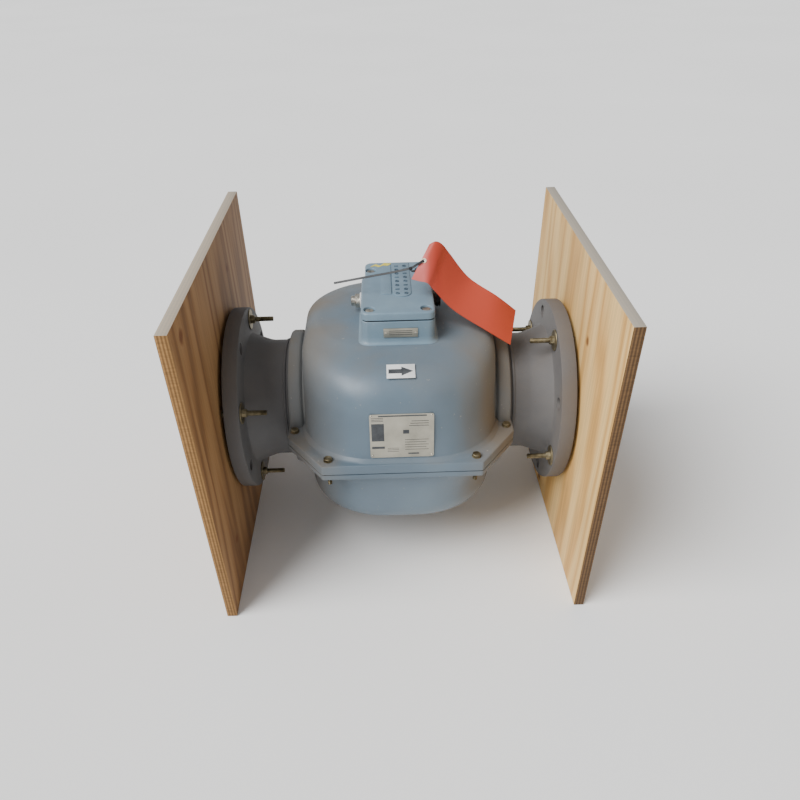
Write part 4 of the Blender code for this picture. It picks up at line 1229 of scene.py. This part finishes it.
def makeTag():
    s = tagShape
    lows, highs = s["low"], s["high"]
    first = Vector(lows[0]).lerp(Vector(highs[0]), s["eyeletShare"])
    second = Vector(lows[1]).lerp(Vector(highs[1]), s["eyeletShare"])
    alongFlap = (second - first).normalized()
    across = (Vector(highs[0]) + Vector(highs[1]) - Vector(lows[0]) - Vector(lows[1])).normalized()
    centre = first.lerp(second, s["eyeletAlong"])
    normal = alongFlap.cross(across).normalized()
    edges = list(zip(smoothRoute(lows, s["steps"]), smoothRoute(highs, s["steps"])))
    tag = ruledSheet("redTag", edges, s["cells"], s["thick"])
    aim = normal.to_track_quat("Z", "Y").to_euler()
    hole = settle(turnedPiece("hole", [(-0.004, 0.0032), (0.004, 0.0032)], 24), centre, aim)
    cut(tag, hole)
    settle(tag, (0, axisY, axisZ))
    finishPiece(tag, redVinyl, "tag_leaf", ["tag"], 60)
    rows = [
        (-0.0013, 0.0027), (-0.0013, 0.0041), (-0.0010, 0.0044), (-0.0007, 0.0042), (-0.0006, 0.0029),
        (0.0006, 0.0029), (0.0007, 0.0042), (0.0010, 0.0044), (0.0013, 0.0041), (0.0013, 0.0027),
    ]
    eyelet = settle(turnedPiece("tagEyelet", rows, 32, closed=False), centre, aim)
    settle(eyelet, (0, axisY, axisZ))
    finishPiece(eyelet, ivoryPlastic, "tag_leaf", ["tag_eyelet"], 45)
    makeTie(centre, normal, alongFlap, across)


tie = {"halfWidth": 0.0018, "thick": 0.0010, "loopR": 0.0132}


def makeTie(centre, normal, alongFlap, across):
    over = (alongFlap * 0.75 + across * 0.65).normalized()
    start = centre - over * 0.014 + normal * 0.0030
    head = start - over * 0.008 + Vector((-0.004, 0, -0.0015))
    cap = Vector((0.0730, terminal["entryY"], terminal["entryZ"]))
    route = [
        (-0.1065, -0.030, 0.2440), (-0.0450, -0.033, 0.2555), (-0.0040, -0.036, 0.2635), head, start,
        centre - over * 0.0045 + normal * 0.0028, centre - over * 0.0012 + normal * 0.0022, centre,
        centre - normal * 0.010, (0.060, -0.008, 0.248), (0.071, 0.002, 0.218),
    ]
    for angle in (0.1, 0.9, 1.57, 2.24, 3.04):
        around = Vector((0, -tie["loopR"] * math.cos(angle), -tie["loopR"] * math.sin(angle)))
        route.append(cap + around)
    route += [
        (0.071, 0.030, 0.218),
        (0.052, 0.010, 0.244),
        head + Vector((0.004, 0.006, -0.008)),
        head + Vector((0, 0, -0.0018)),
    ]
    points = smoothRoute(route, 6)
    edges = []
    for i, point in enumerate(points):
        ahead = (points[min(i + 1, len(points) - 1)] - points[max(i - 1, 0)]).normalized()
        onCap = min(1, max(0, (0.258 - point.z) / 0.03)) if point.x > centre.x or point.y > 0 else 0
        wide = normal.cross(over).normalized().lerp(Vector((-1, 0, 0)), onCap)
        wide = (wide - ahead * wide.dot(ahead)).normalized()
        edges.append((point - wide * tie["halfWidth"], point + wide * tie["halfWidth"]))
    band = ruledSheet("cableTie", edges, 2, tie["thick"])
    lock = block("lock", (-0.0027, -0.0028, -0.0028), (0.0027, 0.0028, 0.0013), 0.0007)
    settle(lock, head, (start - head).to_track_quat("X", "Z").to_euler())
    made = joinPieces("cableTie", [band, lock])
    settle(made, (0, axisY, axisZ))
    finishPiece(made, blackNylon, "tie", ["cable_tie"], 45)


makeTag()
makePaintMark()
print("tag and tie made")


# CAD nodes that keep their shape: finishes for the gaskets and the parts inside

kept = {
    "front_gasket": rubber, "rear_gasket": rubber, "lid_gasket": rubber, "inlet_face_gasket": rubber,
    "outlet_face_gasket": rubber, "measuring_pipe": primer, "board_bracket": zincPlate,
    "preamplifier_board": greenBoard, "terminal_block": greyPlastic, "signal_harness": cableJacket,
    "temperature_probe": bareSteel, "transducer_1": bareSteel, "transducer_2": bareSteel,
    "transducer_3": bareSteel, "transducer_4": bareSteel,
}
for name, material in kept.items():
    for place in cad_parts[name].material_slots:
        place.material = material


# Floor, light and camera

studio = {
    "eye": (-0.0213, -1.1228, 1.0085), "pitch": 38.48, "yaw": -0.67, "roll": 1.35, "lens": 31.07,
    "shiftX": 0.005, "shiftY": 0.075, "floorSize": 80.0, "sunWay": (0.58, 0.34, -0.74),
    "sunPower": 4.6, "skyPower": 0.42,
}


def makeStudio():
    clearSelection()
    bpy.ops.mesh.primitive_plane_add(size=studio["floorSize"], location=(0, 0, -0.0005))
    floor = bpy.context.object
    floor.name = "floor"
    material, tree, shader, place = startMaterial("Pale studio floor", {"Roughness": 0.9})
    cloud = noiseAt(tree, place, 0.8, 2.0)
    tint = addNode(tree, "ValToRGB", {"stops": ((0.3, "f3f3f2"), (0.7, "f7f7f6"))}, {"Fac": cloud})
    tree.links.new(tint.outputs["Color"], shader.inputs["Base Color"])
    floor.data.materials.append(material)
    world = bpy.data.worlds.new("softbox")
    world.use_nodes = True
    world.node_tree.nodes["Background"].inputs["Color"].default_value = (0.97, 0.98, 1.0, 1)
    world.node_tree.nodes["Background"].inputs["Strength"].default_value = studio["skyPower"]
    bpy.context.scene.world = world
    lamp = bpy.data.lights.new("window", "SUN")
    lamp.energy = studio["sunPower"]
    lamp.angle = math.radians(40)
    lampObject = bpy.data.objects.new("window", lamp)
    lampObject.rotation_euler = Vector(studio["sunWay"]).to_track_quat("-Z", "Y").to_euler()
    bpy.context.scene.collection.objects.link(lampObject)


def makeCamera():
    pitch, yaw, roll = (math.radians(studio[key]) for key in ("pitch", "yaw", "roll"))
    right = Vector((math.cos(yaw), math.sin(yaw), 0))
    level = Vector((-math.sin(yaw), math.cos(yaw), 0))
    forward = level * math.cos(pitch) - Vector((0, 0, math.sin(pitch)))
    down = -level * math.sin(pitch) - Vector((0, 0, math.cos(pitch)))
    across = right * math.cos(roll) + down * math.sin(roll)
    below = down * math.cos(roll) - right * math.sin(roll)
    data = bpy.data.cameras.new("camera")
    data.lens = studio["lens"]
    data.sensor_width = 36
    data.shift_x = studio["shiftX"]
    data.shift_y = studio["shiftY"]
    data.clip_end = 200
    camera = bpy.data.objects.new("camera", data)
    bpy.context.scene.collection.objects.link(camera)
    matrix = camera.matrix_world.copy()
    for i in range(3):
        matrix[i][0], matrix[i][1], matrix[i][2] = across[i], -below[i], -forward[i]
        matrix[i][3] = studio["eye"][i]
    camera.matrix_world = matrix
    bpy.context.scene.camera = camera


makeStudio()
makeCamera()
print("scene complete")
